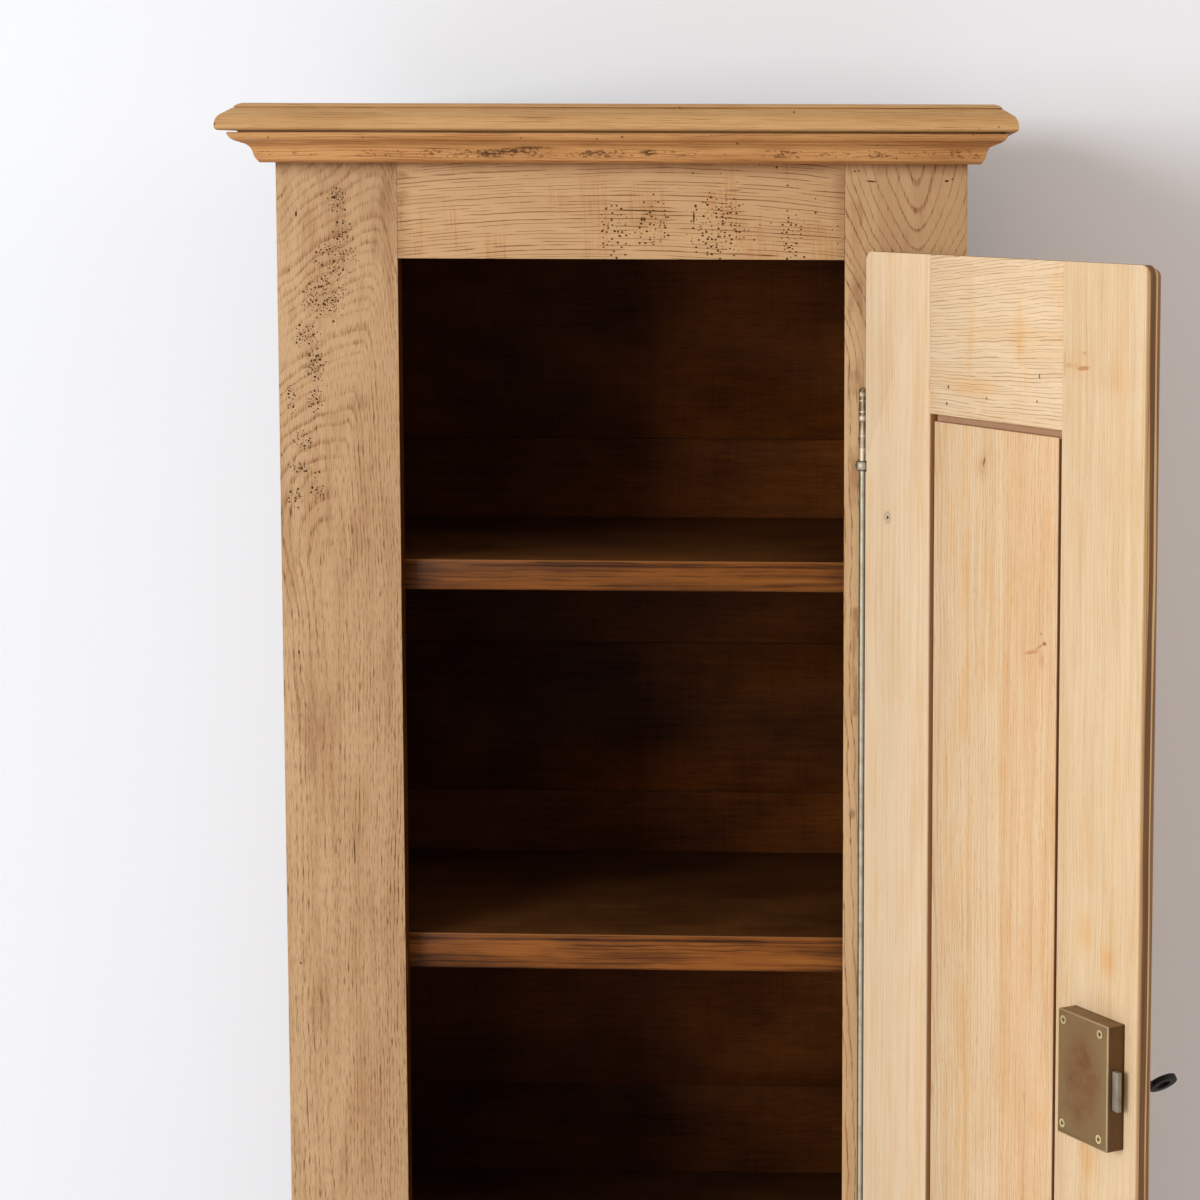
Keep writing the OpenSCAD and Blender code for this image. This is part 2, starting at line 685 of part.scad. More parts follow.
module door_panel() color("moccasin") on_door() {
    clear = groove_d - fit_gap;
    g = panel_groove_w;
    block([panel_x0 - clear, -door_tongue_in - door_tongue_t, panel_z0 - clear],
          [panel_x1 + clear, -door_tongue_in, panel_z1 + clear]);
    block([panel_x0 + g, -door_tongue_in - 1, panel_z0 + g], [panel_x1 - g, -panel_sink, panel_z1 - g]);
    translate([(panel_x0 + panel_x1) / 2, -door_tongue_in - door_tongue_t, (panel_z0 + panel_z1) / 2])
        field(panel_x1 - panel_x0 - 2 * field_gap, panel_z1 - panel_z0 - 2 * field_gap, panel_field_t);
}

// Hinge

// Turned finial with its knuckle, pin and leaf, drawn from the ball's centre upwards
module finial() {
    r = rod_d / 2;
    base = ball_h / 2 + fit_gap;
    u = finial_l / 36;
    tip = ball_h / 2 + finial_l;
    translate([0, 0, base]) cylinder(r = 0.68 * r, h = 34 * u);
    translate([0, 0, base]) cylinder(r = 1.06 * r, h = 6.3 * u);
    translate([0, 0, base + 6.2 * u]) cylinder(r = 0.91 * r, h = 5.7 * u);
    translate([0, 0, base + 11.8 * u]) cylinder(r = 1.09 * r, h = 0.9 * u);
    translate([0, 0, base + 12.6 * u]) cylinder(r1 = 0.97 * r, r2 = 0.71 * r, h = 6.4 * u);
    translate([0, 0, base + 21.1 * u]) sphere(r = 1.26 * r);
    translate([0, 0, base + 24 * u]) cylinder(r = 1.06 * r, h = 0.75 * u);
    translate([0, 0, base + 29.4 * u]) cylinder(r = 1.06 * r, h = 0.75 * u);
    translate([0, 0, tip - 3 * u]) sphere(r = 1.14 * r);
    translate([0, 0, tip - 1.6 * u]) cylinder(r1 = 0.74 * r, r2 = 0.23 * r, h = 1.6 * u);
    translate([0, 0, base - pin_l]) cylinder(d = pin_d, h = pin_l + u);
    block([-leaf_t / 2, 0, base + 2 * fit_gap], [leaf_t / 2, hinge_proud + frame_leaf_w, base + frame_leaf_h]);
}

module hinge_finial(end) color("slategray") translate([axis_x, axis_y, 0]) hinge_end(end) finial();

// Long rod with its two ball collars and the two leaves let into the door's edge
module hinge_rod() color("silver") translate([axis_x, axis_y, 0]) rotate([0, 0, door_open]) {
    low = door_z + ball_inset;
    high = door_z + door_h - ball_inset;
    difference() {
        union() {
            translate([0, 0, low]) cylinder(d = rod_d, h = high - low);
            for (z = [low, high]) translate([0, 0, z]) intersection() {
                sphere(d = ball_d);
                translate([0, 0, -ball_h / 2]) cylinder(d = ball_d + 1, h = ball_h);
            }
        }
        for (end = [0, 1]) hinge_end(end) translate([0, 0, ball_h / 2 - pin_l - 1.5])
            cylinder(r = pin_d / 2 + running_gap, h = pin_l + 3);
    }
    for (end = [0, 1]) translate([-hinge_gap, hinge_proud - door_face_gap, door_z]) door_end(end) door_leaf();
}

// Cranked leaf from the rod into the door's edge, drawn downwards from its top, in the door's own frame
module door_leaf() {
    axis_in = door_face_gap - hinge_proud;
    rod_r = rod_d / 2;
    front = -leaf_in - leaf_t / 2;
    rear = -leaf_in + leaf_t / 2;
    difference() {
        along_z(-leaf_h, leaf_h) difference() {
            polygon([[-leaf_w, front], [-1, front], [hinge_gap + 0.5, axis_in - rod_r + 0.2],
                     [hinge_gap - 1, axis_in - rod_r + 2.2], [0, rear], [-leaf_w, rear]]);
            translate([hinge_gap, axis_in]) circle(r = rod_r - 0.6);
        }
        leaf_screw(fit_gap / 2);
    }
}

module leaf_screws() color("gainsboro") on_door() for (end = [0, 1]) door_end(end) difference() {
    leaf_screw(0);
    translate([-leaf_screw_in, 0, -leaf_screw_down]) block([-3, -0.5, -0.4], [3, 1, 0.4]);
}

// Lock, drawn from the centre of its case on the door's inner face; plus Y stands off the door

module on_lock() translate([-door_w + lock_inset + lock_w / 2, 0, door_h / 2]) children();

// Keyhole along plus Z: a round hole and the slot for the bit
module keyhole(r, length) {
    cylinder(r = r, h = length);
    block([-key_bit_t / 2 - 0.6, -key_bit_r - 0.7, 0], [key_bit_t / 2 + 0.6, 0, length]);
}

module at_lock_screws() for (x = [lock_w / 2 - lock_screw_hinge_x, -lock_w / 2 + lock_screw_free_x])
    for (z = [-1, 1]) translate([x, lock_d, z * (lock_h / 2 - lock_screw_z)]) rotate([90, 0, 0]) children();

module lock_screw(gap) {
    head = lock_screw_head / 2;
    shank = lock_screw_d / 2;
    cylinder(r1 = head + gap, r2 = shank + gap, h = head - shank);
    cylinder(r = shank + gap, h = lock_screw_l + gap);
}

module lock_screws_at(gap) at_lock_screws() lock_screw(gap);

module lock_case() color("darkkhaki") on_door() on_lock() difference() {
    block([-lock_w / 2, 0, -lock_h / 2], [lock_w / 2, lock_d, lock_h / 2]);
    block([lock_wall - lock_w / 2, -1, lock_wall - lock_h / 2],
          [lock_w / 2 - lock_wall, lock_d - lock_wall, lock_h / 2 - lock_wall]);
    block([-lock_w / 2 - 1, bolt_in - fit_gap, -bolt_low - bolt_h / 2 - fit_gap],
          [lock_wall - lock_w / 2 + 1, bolt_in + bolt_t + fit_gap, -bolt_low + bolt_h / 2 + fit_gap]);
    lock_screws_at(fit_gap / 2);
}

// Plate against the door with the keyhole and the stud that guides the bolt
module lock_sole() color("darkkhaki") on_door() on_lock() {
    edge = lock_wall + fit_gap;
    difference() {
        block([edge - lock_w / 2, 0, edge - lock_h / 2], [lock_w / 2 - edge, lock_wall, lock_h / 2 - edge]);
        lock_screws_at(fit_gap / 2);
        translate([key_x, lock_wall + 1, -key_low]) rotate([90, 0, 0])
            keyhole(key_d / 2 + running_gap, lock_wall + 2);
    }
    translate([stud_x, lock_d - lock_wall - fit_gap, stud_z]) rotate([90, 0, 0])
        cylinder(r = stud_r, h = lock_d - lock_wall - fit_gap - lock_wall / 2);
}

module lock_screws() color("goldenrod") on_door() on_lock() at_lock_screws() difference() {
    lock_screw(0);
    for (turn = [0, 90]) rotate([0, 0, turn]) block([-2.6, -0.45, -1], [2.6, 0.45, 0.8]);
}

// Bolt plate with its guide slot and the notch that the key's bit sweeps
module lock_bolt() color("silver") on_door() on_lock() difference() {
    block([-lock_w / 2 - bolt_out, bolt_in, -bolt_low - bolt_h / 2],
          [bolt_end, bolt_in + bolt_t, -bolt_low + bolt_h / 2]);
    block([key_x - key_bit_r - bolt_back - 0.6, bolt_in - 1, -bolt_low - bolt_h / 2 - 1],
          [key_x + key_bit_r + bolt_throw + 0.6, bolt_in + bolt_t + 1, key_bit_r - key_low + 0.6]);
    block([stud_x - stud_r - bolt_back - 0.6, bolt_in - 1, stud_z - stud_r - fit_gap],
          [stud_x + stud_r + bolt_throw + 0.6, bolt_in + bolt_t + 1, stud_z + stud_r + fit_gap]);
}

// Height of the bow spring over the door, from its ends at the bolt to its middle near the case
function spring_y(x) =
    bolt_in + bolt_t + spring_rest + (spring_rise - spring_t) * (1 - pow((x - spring_x) / (spring_l / 2), 2));

// Bow spring between the bolt and the case
module bolt_spring() color("lightsteelblue") on_door() on_lock() {
    outline = [for (i = [0:12]) let (x = spring_x + spring_l * (i / 12 - 0.5)) [x, spring_y(x)]];
    along_z(bolt_h / 2 - bolt_low - 9, 6)
        polygon(concat(outline, [for (p = backwards(outline)) [p[0], p[1] + spring_t]]));
}

// Key, drawn with its bit straight down and then turned towards the bolt
module key() color("dimgray") on_door() on_lock() translate([key_x, 0, -key_low]) rotate([0, -key_turned, 0]) {
    bow_mid = -key_reach + bow_l / 2;
    rotate([90, 0, 0]) translate([0, 0, -bolt_in - bolt_t + 1])
        cylinder(d = key_d, h = bolt_in + bolt_t - 1 + key_reach - bow_l + bow_rim / 2);
    block([-key_bit_t / 2, lock_wall + 1.2, -key_bit_r], [key_bit_t / 2, bolt_in + bolt_t - 1, 0]);
    for (y = [-key_reach + bow_l + 2, -key_reach + bow_l + 7]) translate([0, y, 0]) rotate([90, 0, 0])
        cylinder(d = key_d + 2.6, h = 2.4, center = true);
    rotate([0, 90, 0]) linear_extrude(bow_t, center = true) difference() {
        polygon(oval(0, bow_mid, bow_w / 2, bow_l / 2, 30));
        polygon(oval(0, bow_mid, bow_w / 2 - bow_rim, bow_l / 2 - bow_rim, 24));
    }
}

// Escutcheon on the outer face, with its two nails

module on_outer_face() translate([key_x, -door_t, -key_low]) rotate([90, 0, 0]) children();

module escutcheon() color("goldenrod") on_door() on_lock() on_outer_face() difference() {
    linear_extrude(plate_t) polygon(oval(0, -key_d / 3, plate_w / 2, plate_h / 2, 36));
    translate([0, 0, -1]) keyhole(key_d / 2 + 0.4, plate_t + 2);
    at_plate_nails() plate_nail(fit_gap / 2);
}

module at_plate_nails() for (z = [-1, 1])
    translate([0, z * (plate_h / 2 - 4) - key_d / 3, plate_t]) mirror([0, 0, 1]) children();

module plate_nail(gap) cylinder(d = 1.4 + 2 * gap, h = 10 + gap);

module escutcheon_nails_at(gap) on_outer_face() at_plate_nails() plate_nail(gap);

module escutcheon_nails() color("goldenrod") on_door() on_lock() {
    escutcheon_nails_at(0);
    on_outer_face() at_plate_nails() translate([0, 0, -0.8]) cylinder(d = 3.4, h = 0.8);
}

face_stile_left();
face_stile_right();
face_rail_top();
face_rail_bottom();
for (side = ["left", "right"]) {
    side_front_stile(side);
    side_rear_stile(side);
    side_rail(side, side_top_low, body_top);
    side_rail(side, side_mid_low, side_mid_high);
    side_rail(side, foot_h, opening_bottom);
    side_panel(side, side_mid_high, side_top_low);
    side_panel(side, opening_bottom, side_mid_low);
    shelf_cleats(side);
    crown_side(side);
}
for (i = [1:back_count]) back_board(i);
back_nails();
for (i = [1:3]) shelf(i - 1);
shelf(3);  // cabinet_floor
cornice_board();
crown_front();
hinge_finial(1);  // hinge_finial_top
hinge_finial(0);  // hinge_finial_bottom
door_hinge_stile();
door_lock_stile();
door_top_rail();
door_bottom_rail();
door_panel();
hinge_rod();
leaf_screws();
lock_case();
lock_sole();
lock_screws();
bolt_spring();
lock_bolt();
key();
escutcheon();
escutcheon_nails();
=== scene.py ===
"""Looks of a single-door oak linen cabinet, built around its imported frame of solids."""

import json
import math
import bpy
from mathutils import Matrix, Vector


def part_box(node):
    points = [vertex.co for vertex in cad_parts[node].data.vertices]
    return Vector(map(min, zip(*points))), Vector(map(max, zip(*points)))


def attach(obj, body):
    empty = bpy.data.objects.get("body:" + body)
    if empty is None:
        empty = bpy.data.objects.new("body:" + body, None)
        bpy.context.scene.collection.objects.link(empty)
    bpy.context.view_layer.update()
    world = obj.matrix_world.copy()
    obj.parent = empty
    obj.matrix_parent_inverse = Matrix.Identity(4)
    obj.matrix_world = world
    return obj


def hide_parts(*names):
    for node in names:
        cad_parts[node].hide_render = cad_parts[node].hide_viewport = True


bl_info = {
    "name": "Linen cabinet",
    "version": (1, 0, 0),
    "blender": (4, 5, 0),
    "location": "3D View > Sidebar > Linen cabinet",
    "description": "Finishes the boards, hinge and lock of an oak linen cabinet",
    "category": "Object",
}

import bmesh
import bpy
from bpy.props import FloatProperty, FloatVectorProperty, PointerProperty
from mathutils import Matrix, Vector

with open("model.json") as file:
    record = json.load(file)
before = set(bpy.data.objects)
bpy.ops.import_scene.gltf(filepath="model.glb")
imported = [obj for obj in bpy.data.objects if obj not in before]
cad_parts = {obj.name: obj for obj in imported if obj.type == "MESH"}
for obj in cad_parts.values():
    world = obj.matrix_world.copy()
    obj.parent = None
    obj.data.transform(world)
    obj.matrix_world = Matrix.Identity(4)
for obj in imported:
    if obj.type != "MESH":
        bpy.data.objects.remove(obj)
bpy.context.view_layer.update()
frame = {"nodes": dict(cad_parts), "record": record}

# Places and sizes in the cabinet's frame, in metres. The door stands open by DOOR_OPEN degrees.
HINGE_X = 0.2426
HINGE_Y = -0.002
HINGE_MIDDLE = 0.97225
BALL_FROM_MIDDLE = 0.5195
DOOR_OPEN = 122.9
DOOR_HEIGHT = 1.4667
DOOR_WIDTH = 0.4702
DOOR_FOOT = 0.2389
DOOR_BACK = 0.0232
DOOR_EDGE = 0.0168
OPENING_SIDE = 0.2236
FRAME_TOP = 1.7905
INNER_X = 0.323
BACK_Y = 0.422

# Places on the door, from the foot of its hinge edge
LEAF_SCREW_X = -0.0423
LEAF_SCREW_FROM_MIDDLE = 0.4723
LOCK_MIDDLE = (-DOOR_WIDTH + 0.0202 + 0.03825, DOOR_HEIGHT / 2)
LOCK_SCREWS_X = (-0.3807, -0.4375)
LOCK_SCREW_FROM_MIDDLE = 0.0481

# Angles in degrees. Outer edges that turn by more than the first are eased, and all that turn by more
# than the second are shaded as sharp.
EASED_FROM = 25.0
SHARP_FROM = 28.0


# Shader maths

class Signal:
    """A socket that takes part in Python expressions. Each operator adds a Math node."""

    def __init__(self, finish, socket):
        self.finish = finish
        self.socket = socket

    def math(self, operation, *operands):
        return self.finish.add("ShaderNodeMath", {"operation": operation}, operands)

    def __add__(self, other):
        return self.math("ADD", self, other)

    def __radd__(self, other):
        return self.math("ADD", other, self)

    def __sub__(self, other):
        return self.math("SUBTRACT", self, other)

    def __rsub__(self, other):
        return self.math("SUBTRACT", other, self)

    def __mul__(self, other):
        return self.math("MULTIPLY", self, other)

    def __rmul__(self, other):
        return self.math("MULTIPLY", other, self)

    def __truediv__(self, other):
        return self.math("DIVIDE", self, other)

    def __rtruediv__(self, other):
        return self.math("DIVIDE", other, self)

    def __neg__(self):
        return self.math("MULTIPLY", self, -1.0)

    def __abs__(self):
        return self.math("ABSOLUTE", self)

    def root(self):
        return self.math("SQRT", self)

    def fraction(self):
        return self.math("FRACT", self)

    def at_least(self, other):
        return self.math("MAXIMUM", self, other)

    def at_most(self, other):
        return self.math("MINIMUM", self, other)

    def step(self, low, high, start=0.0, end=1.0):
        """Smooth step from start, below low, to end, above high."""
        return self.finish.add(
            "ShaderNodeMapRange",
            {"interpolation_type": "SMOOTHSTEP"},
            {"Value": self, "From Min": low, "From Max": high, "To Min": start, "To Max": end},
        )

    def below(self, low, high):
        """One below low, falling to nothing above high."""
        return self.step(low, high, 1.0, 0.0)

    def within(self, low, high, soft):
        """One between low and high, falling to nothing over soft on each side."""
        return self.step(low - soft, low) * self.below(high, high + soft)


class Finish:
    """A material under construction."""

    def __init__(self, name):
        self.material = bpy.data.materials.new(name)
        self.material.use_nodes = True
        self.nodes = self.material.node_tree.nodes
        self.links = self.material.node_tree.links
        self.nodes.clear()

    def add(self, kind, settings=None, inputs=None, out=0):
        """Adds a node, gives it its settings and then its inputs, and returns one output.

        An input of None stays as it is.
        """
        node = self.nodes.new(kind)
        for name, value in (settings or {}).items():
            setattr(node, name, value)
        pairs = inputs.items() if isinstance(inputs, dict) else enumerate(inputs or ())
        for name, value in pairs:
            socket = node.inputs[name]
            if value is None:
                continue
            if isinstance(value, Signal):
                self.links.new(value.socket, socket)
            elif isinstance(value, (tuple, list)) and len(value) == 3 and socket.type == "RGBA":
                socket.default_value = (*value, 1.0)
            else:
                socket.default_value = value
        return None if out is None else Signal(self, node.outputs[out])

    def place(self):
        return self.add("ShaderNodeTexCoord", out="Object")

    def mapped(self, vector, location=(0, 0, 0), rotation=(0, 0, 0), scale=(1, 1, 1)):
        return self.add("ShaderNodeMapping", {"vector_type": "POINT"},
                        {"Vector": vector, "Location": location, "Rotation": rotation, "Scale": scale})

    def parts(self, vector):
        """The three numbers of a vector."""
        split = self.add("ShaderNodeSeparateXYZ", None, [vector])
        return [Signal(self, socket) for socket in split.socket.node.outputs]

    def vector(self, x, y, z):
        return self.add("ShaderNodeCombineXYZ", None, [x, y, z])

    def noise(self, vector, scale=1.0, detail=2.0, roughness=0.5):
        return self.add("ShaderNodeTexNoise", {"noise_dimensions": "3D"},
                        {"Vector": vector, "Scale": scale, "Detail": detail, "Roughness": roughness}, "Fac")

    def drawn(self, spot, start, lengthwise, crosswise, detail, roughness):
        """Noise round a place whose first number runs with the grain, stretched along it."""
        stretch = (lengthwise, crosswise, crosswise)
        return self.noise(self.mapped(spot, location=start, scale=stretch), 1.0, detail, roughness)

    def clouds(self, across, along, layer, crosswise, lengthwise, detail, roughness):
        """Flat noise over two directions, each stretched by its own amount."""
        stretch = (crosswise, lengthwise, 1.0)
        return self.noise(self.mapped(self.vector(across, along, layer), scale=stretch), 1.0, detail, roughness)

    def blend(self, amount, first, second, kind="MIX"):
        return self.add("ShaderNodeMix", {"data_type": "RGBA", "blend_type": kind},
                        {0: amount, 6: first, 7: second}, 2)

    def tint(self, colour, amount, shade):
        """Multiplies a colour by a shade, as far as amount says."""
        return self.blend(amount, colour, shade, "MULTIPLY")

    def bump(self, height, distance, strength=1.0):
        return self.add("ShaderNodeBump", None, {"Strength": strength, "Distance": distance, "Height": height})

    def surface(self, colour, roughness, normal, metallic=0.0, specular=0.5):
        """Completes the material with one shader."""
        return self.finished(self.add("ShaderNodeBsdfPrincipled", None, {
            "Base Color": colour, "Roughness": roughness, "Metallic": metallic,
            "Coat Weight": 0.0, "Coat Roughness": 0.3, "Specular IOR Level": specular, "Normal": normal}))

    def finished(self, shader):
        """Joins a shader to the material's output and gives the material."""
        self.add("ShaderNodeOutputMaterial", None, {"Surface": shader}, None)
        return self.material


def scaled(colour, tone):
    """A colour with each of its numbers multiplied by the tone's."""
    return tuple(a * b for a, b in zip(colour, tone))


def join(first, *others):
    """The highest of several masks at each point."""
    for other in others:
        first = first.at_least(other)
    return first


def blot(finish, across, along, centre, size, soft=0.5):
    """An oval patch, full at its centre."""
    x = (across - centre[0]) / size[0]
    y = (along - centre[1]) / size[1]
    return (x * x + y * y).root().below(1.0 - soft, 1.0 + soft)


def patches(finish, across, along, ovals, soft=0.5):
    """Several oval patches, each given as its place and half sizes."""
    return join(*[blot(finish, across, along, oval[:2], oval[2:], soft) for oval in ovals])


def dots(finish, across, along, mask, scale, size):
    """Small round holes where mask is high."""
    cells = finish.add("ShaderNodeTexVoronoi", {"voronoi_dimensions": "2D", "feature": "F1"},
                       {"Vector": finish.vector(across, along, 0.0), "Scale": scale, "Randomness": 1.0},
                       "Distance")
    red, green, _ = finish.parts(Signal(finish, cells.socket.node.outputs["Color"]))
    radius = size * (0.55 + 0.9 * green)
    return (cells - radius).below(-0.05, 0.05) * (mask - red).step(0.0, 0.02)


# Wood

def cabinet_space(finish, grain):
    """Object place as (along the grain, across it, through the board), for boards of the cabinet."""
    x, y, z = finish.parts(finish.place())
    return {"Z": (z, x, y), "X": (x, z, y), "Y": (y, z, x)}[grain]


def door_space(finish):
    """Object place in the door's own frame: zero at the foot of its hinge edge, on the inner face."""
    about_rod = finish.mapped(finish.place(), location=(-HINGE_X, -HINGE_Y, 0))
    return finish.parts(finish.mapped(about_rod, location=(0.0075, -0.0015, -DOOR_FOOT),
                                      rotation=(0, 0, math.radians(-DOOR_OPEN))))


def board_spot(finish, place, seed):
    """A board's place, moved so that each board has grain of its own."""
    along, across, through = place
    return finish.vector(along + seed * 3.1, across + seed * 1.7, through + seed * 0.9)


def oak(finish, place, seed, tones, centre=0.0, rise=0.0, deep=0.02, ring=0.007, waver=0.008, line=0.3,
        bands=0.5, pores=0.5, fine=(90.0, 900.0), coarse=(50.0, 430.0), specks=0.5, strewn=0.25, cover=0.50,
        mottle=0.3, streaks=0.2, fray=0.5, shape=None):
    """Oak colour and height on a board whose place is (along, across, through).

    Growth rings are counted outwards from a centre line that runs deep behind the face, one for each
    ring metres, and stray from it by waver. Where rise is more than nothing the rings close downwards,
    and where it is less they close upwards. A shape function can give its own distance and rise. Each
    ring starts with a dark row of open pores, line of a ring wide, which breaks up as fray grows. Fine
    and coarse stretch the small and large pores, and strewn is their share outside the rows. The tones
    are late wood, early wood and pores.
    """
    along, across, through = place
    light, dark, pore = tones
    spot = board_spot(finish, place, seed)
    broad = finish.drawn(spot, (0, 0, 0), 2.2, 8.0, 1.0, 0.5)
    sway = finish.drawn(spot, (5.0, 2.0, 7.0), 14.0, 30.0, 2.0, 0.6)
    off, lift = (across - centre, along * rise) if shape is None else shape(along, across)
    off = off + (broad - 0.5) * (waver * 2.0) + (sway - 0.5) * waver
    behind = through + deep
    count = ((off * off + behind * behind).root() - lift) / ring
    uneven = finish.noise(finish.vector(count * 0.45 + seed, along * 1.5, seed), 1.0, 1.0, 0.5)
    rings = (count + uneven * 2.0).fraction()
    cloud = finish.drawn(spot, (9.0, 4.0, 1.0), 9.0, 30.0, 3.0, 0.6)
    early = rings.step(0.0, 0.10) * rings.below(line * 0.5, line * 1.5)
    early = early * uneven.step(0.35, 0.60, 1.0 - fray, 1.0) * cloud.step(0.38, 0.58, 1.0 - fray, 1.0)
    fibre = finish.drawn(spot, (0, 0, 0), 22.0, 1300.0, 2.0, 0.6)
    cells = finish.drawn(spot, (3.0, 1.0, 4.0), *fine, 1.0, 0.4)
    large = finish.drawn(spot, (6.0, 5.0, 2.0), *coarse, 1.0, 0.4)
    soft = finish.drawn(spot, (2.0, 9.0, 3.0), 5.0, 50.0, 2.0, 0.55)
    if callable(specks):
        specks = specks(along)
    spread = strewn + (1.0 - strewn) * early
    dashes = cells.step(cover, cover + 0.12) * spread
    gashes = large.step(0.60, 0.66) * spread * specks
    amount = early * bands + (cloud - 0.5) * (mottle * 1.6) + soft.step(0.42, 0.66) * streaks
    tone = finish.blend(amount + (fibre - 0.5) * (0.5 * (bands + mottle)), light, dark)
    colour = finish.blend((dashes * pores + gashes).at_most(1.0), tone, pore)
    return colour, (fibre - 0.5) * 0.3 - dashes - gashes


def stained(finish, place, seed, patch=0.0):
    """Dark brown stain over smooth oak, with golden worn clouds and a faint grain."""
    values = oak_settings()
    spot = board_spot(finish, place, seed)
    cloud = finish.drawn(spot, (0, 0, 0), 6.0, 9.0, 3.0, 0.6)
    grain = finish.drawn(spot, (4.0, 2.0, 6.0), 10.0, 210.0, 3.0, 0.6)
    thread = finish.drawn(spot, (1.0, 7.0, 3.0), 50.0, 950.0, 1.0, 0.5)
    cross = finish.drawn(spot, (5.0, 3.0, 8.0), 260.0, 12.0, 2.0, 0.5)
    amount = 0.12 + cloud.step(0.25, 0.80) * 0.60 + (grain - 0.5) * 0.55 + (cross - 0.5) * 0.25 + patch
    colour = finish.blend(amount, tuple(values.stain_dark), tuple(values.stain_light))
    return finish.tint(colour, thread.step(0.50, 0.66) * 0.45, (0.5, 0.45, 0.4))


# Meshes

def body_of(node):
    for body, members in frame["record"]["behaviour"]["bodies"].items():
        if node in members:
            return body
    raise ValueError("no body holds " + node)


def slot_of(node):
    for entry in frame["record"]["subparts"]:
        if entry["node"] == node:
            return entry["material_slot"]
    raise ValueError("no slot for " + node)


def eased(node, material, width, segments=2, keep=None):
    """A copy of a solid with its sharp outer edges eased, which replaces the solid in view."""
    data = bmesh.new()
    data.from_mesh(frame["nodes"][node].data)
    bmesh.ops.remove_doubles(data, verts=data.verts, dist=0.00002)
    bmesh.ops.dissolve_limit(data, angle_limit=math.radians(0.6), use_dissolve_boundaries=False,
                             verts=data.verts, edges=data.edges)
    sharp = []
    for edge in data.edges:
        if len(edge.link_faces) != 2 or edge.calc_length() < width * 3.0:
            continue
        if edge.calc_face_angle_signed(0.0) < math.radians(EASED_FROM):
            continue
        middle = (edge.verts[0].co + edge.verts[1].co) * 0.5
        if keep is None or keep(middle):
            sharp.append(edge)
    if sharp:
        bmesh.ops.bevel(data, geom=sharp, offset=width, offset_type="OFFSET", segments=segments, profile=0.5,
                        affect="EDGES", clamp_overlap=True, material=-1)
    for face in data.faces:
        face.smooth = True
    for edge in data.edges:
        edge.smooth = len(edge.link_faces) == 2 and edge.calc_face_angle(3.0) < math.radians(SHARP_FROM)
    mesh = bpy.data.meshes.new(node + "_eased")
    data.to_mesh(mesh)
    data.free()
    mesh.materials.clear()
    mesh.materials.append(material)
    piece = bpy.data.objects.new("dressed_" + node, mesh)
    bpy.context.scene.collection.objects.link(piece)
    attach(piece, body_of(node))
    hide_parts(node)
    slot_of(node)
    return piece


# Sizes and colours that a user would change

class CabinetOakSettings(bpy.types.PropertyGroup):
    face_light: FloatVectorProperty(name="Face oak, light", description="Late wood of the face frame",
                                    default=(0.530, 0.328, 0.168), subtype="COLOR", min=0.0, max=1.0)
    face_dark: FloatVectorProperty(name="Face oak, dark", description="Early wood of the face frame",
                                   default=(0.335, 0.155, 0.060), subtype="COLOR", min=0.0, max=1.0)
    pore: FloatVectorProperty(name="Pores", description="Open pores of the outer oak",
                              default=(0.155, 0.058, 0.015), subtype="COLOR", min=0.0, max=1.0)
    cornice_light: FloatVectorProperty(name="Cornice oak, light", description="Late wood of the cornice",
                                       default=(0.60, 0.335, 0.140), subtype="COLOR", min=0.0, max=1.0)
    cornice_dark: FloatVectorProperty(name="Cornice oak, dark", description="Early wood of the cornice",
                                      default=(0.42, 0.190, 0.062), subtype="COLOR", min=0.0, max=1.0)
    door_light: FloatVectorProperty(name="Door oak, light", description="Late wood of the door's inner face",
                                    default=(0.71, 0.525, 0.335), subtype="COLOR", min=0.0, max=1.0)
    door_dark: FloatVectorProperty(name="Door oak, dark", description="Early wood of the door's inner face",
                                   default=(0.57, 0.365, 0.185), subtype="COLOR", min=0.0, max=1.0)
    stain_light: FloatVectorProperty(name="Stain, light", description="Worn stain inside the cabinet",
                                     default=(0.165, 0.045, 0.0058), subtype="COLOR", min=0.0, max=1.0)
    stain_dark: FloatVectorProperty(name="Stain, dark", description="Stain inside the cabinet",
                                    default=(0.032, 0.0075, 0.0010), subtype="COLOR", min=0.0, max=1.0)
    wear: FloatProperty(name="Wear", description="How far the boards' edges are eased",
                        default=0.0009, min=0.0003, max=0.002, unit="LENGTH")


class CabinetMetalSettings(bpy.types.PropertyGroup):
    steel: FloatVectorProperty(name="Steel", description="Rod, finials, bolt and leaf screws",
                               default=(0.50, 0.445, 0.345), subtype="COLOR", min=0.0, max=1.0)
    old_brass: FloatVectorProperty(name="Old brass", description="Lock case",
                                   default=(0.300, 0.185, 0.078), subtype="COLOR", min=0.0, max=1.0)
    brass: FloatVectorProperty(name="Brass", description="Lock screws and escutcheon",
                               default=(0.55, 0.40, 0.18), subtype="COLOR", min=0.0, max=1.0)
    iron: FloatVectorProperty(name="Iron", description="Key and nails",
                              default=(0.010, 0.0085, 0.0075), subtype="COLOR", min=0.0, max=1.0)


class CabinetStageSettings(bpy.types.PropertyGroup):
    wall: FloatVectorProperty(name="Wall", description="Colour of the floor and wall",
                              default=(0.80, 0.805, 0.825), subtype="COLOR", min=0.0, max=1.0)
    window_watts: FloatProperty(name="Window light", description="Power of the large soft light",
                                default=403.0, min=0.0)
    fill_watts: FloatProperty(name="Fill light", description="Power of the weak warm light from the right",
                              default=18.5, min=0.0)
    room: FloatProperty(name="Room light", description="Strength of the light from all around",
                        default=0.58, min=0.0)


def oak_settings():
    return bpy.context.scene.cabinet_oak


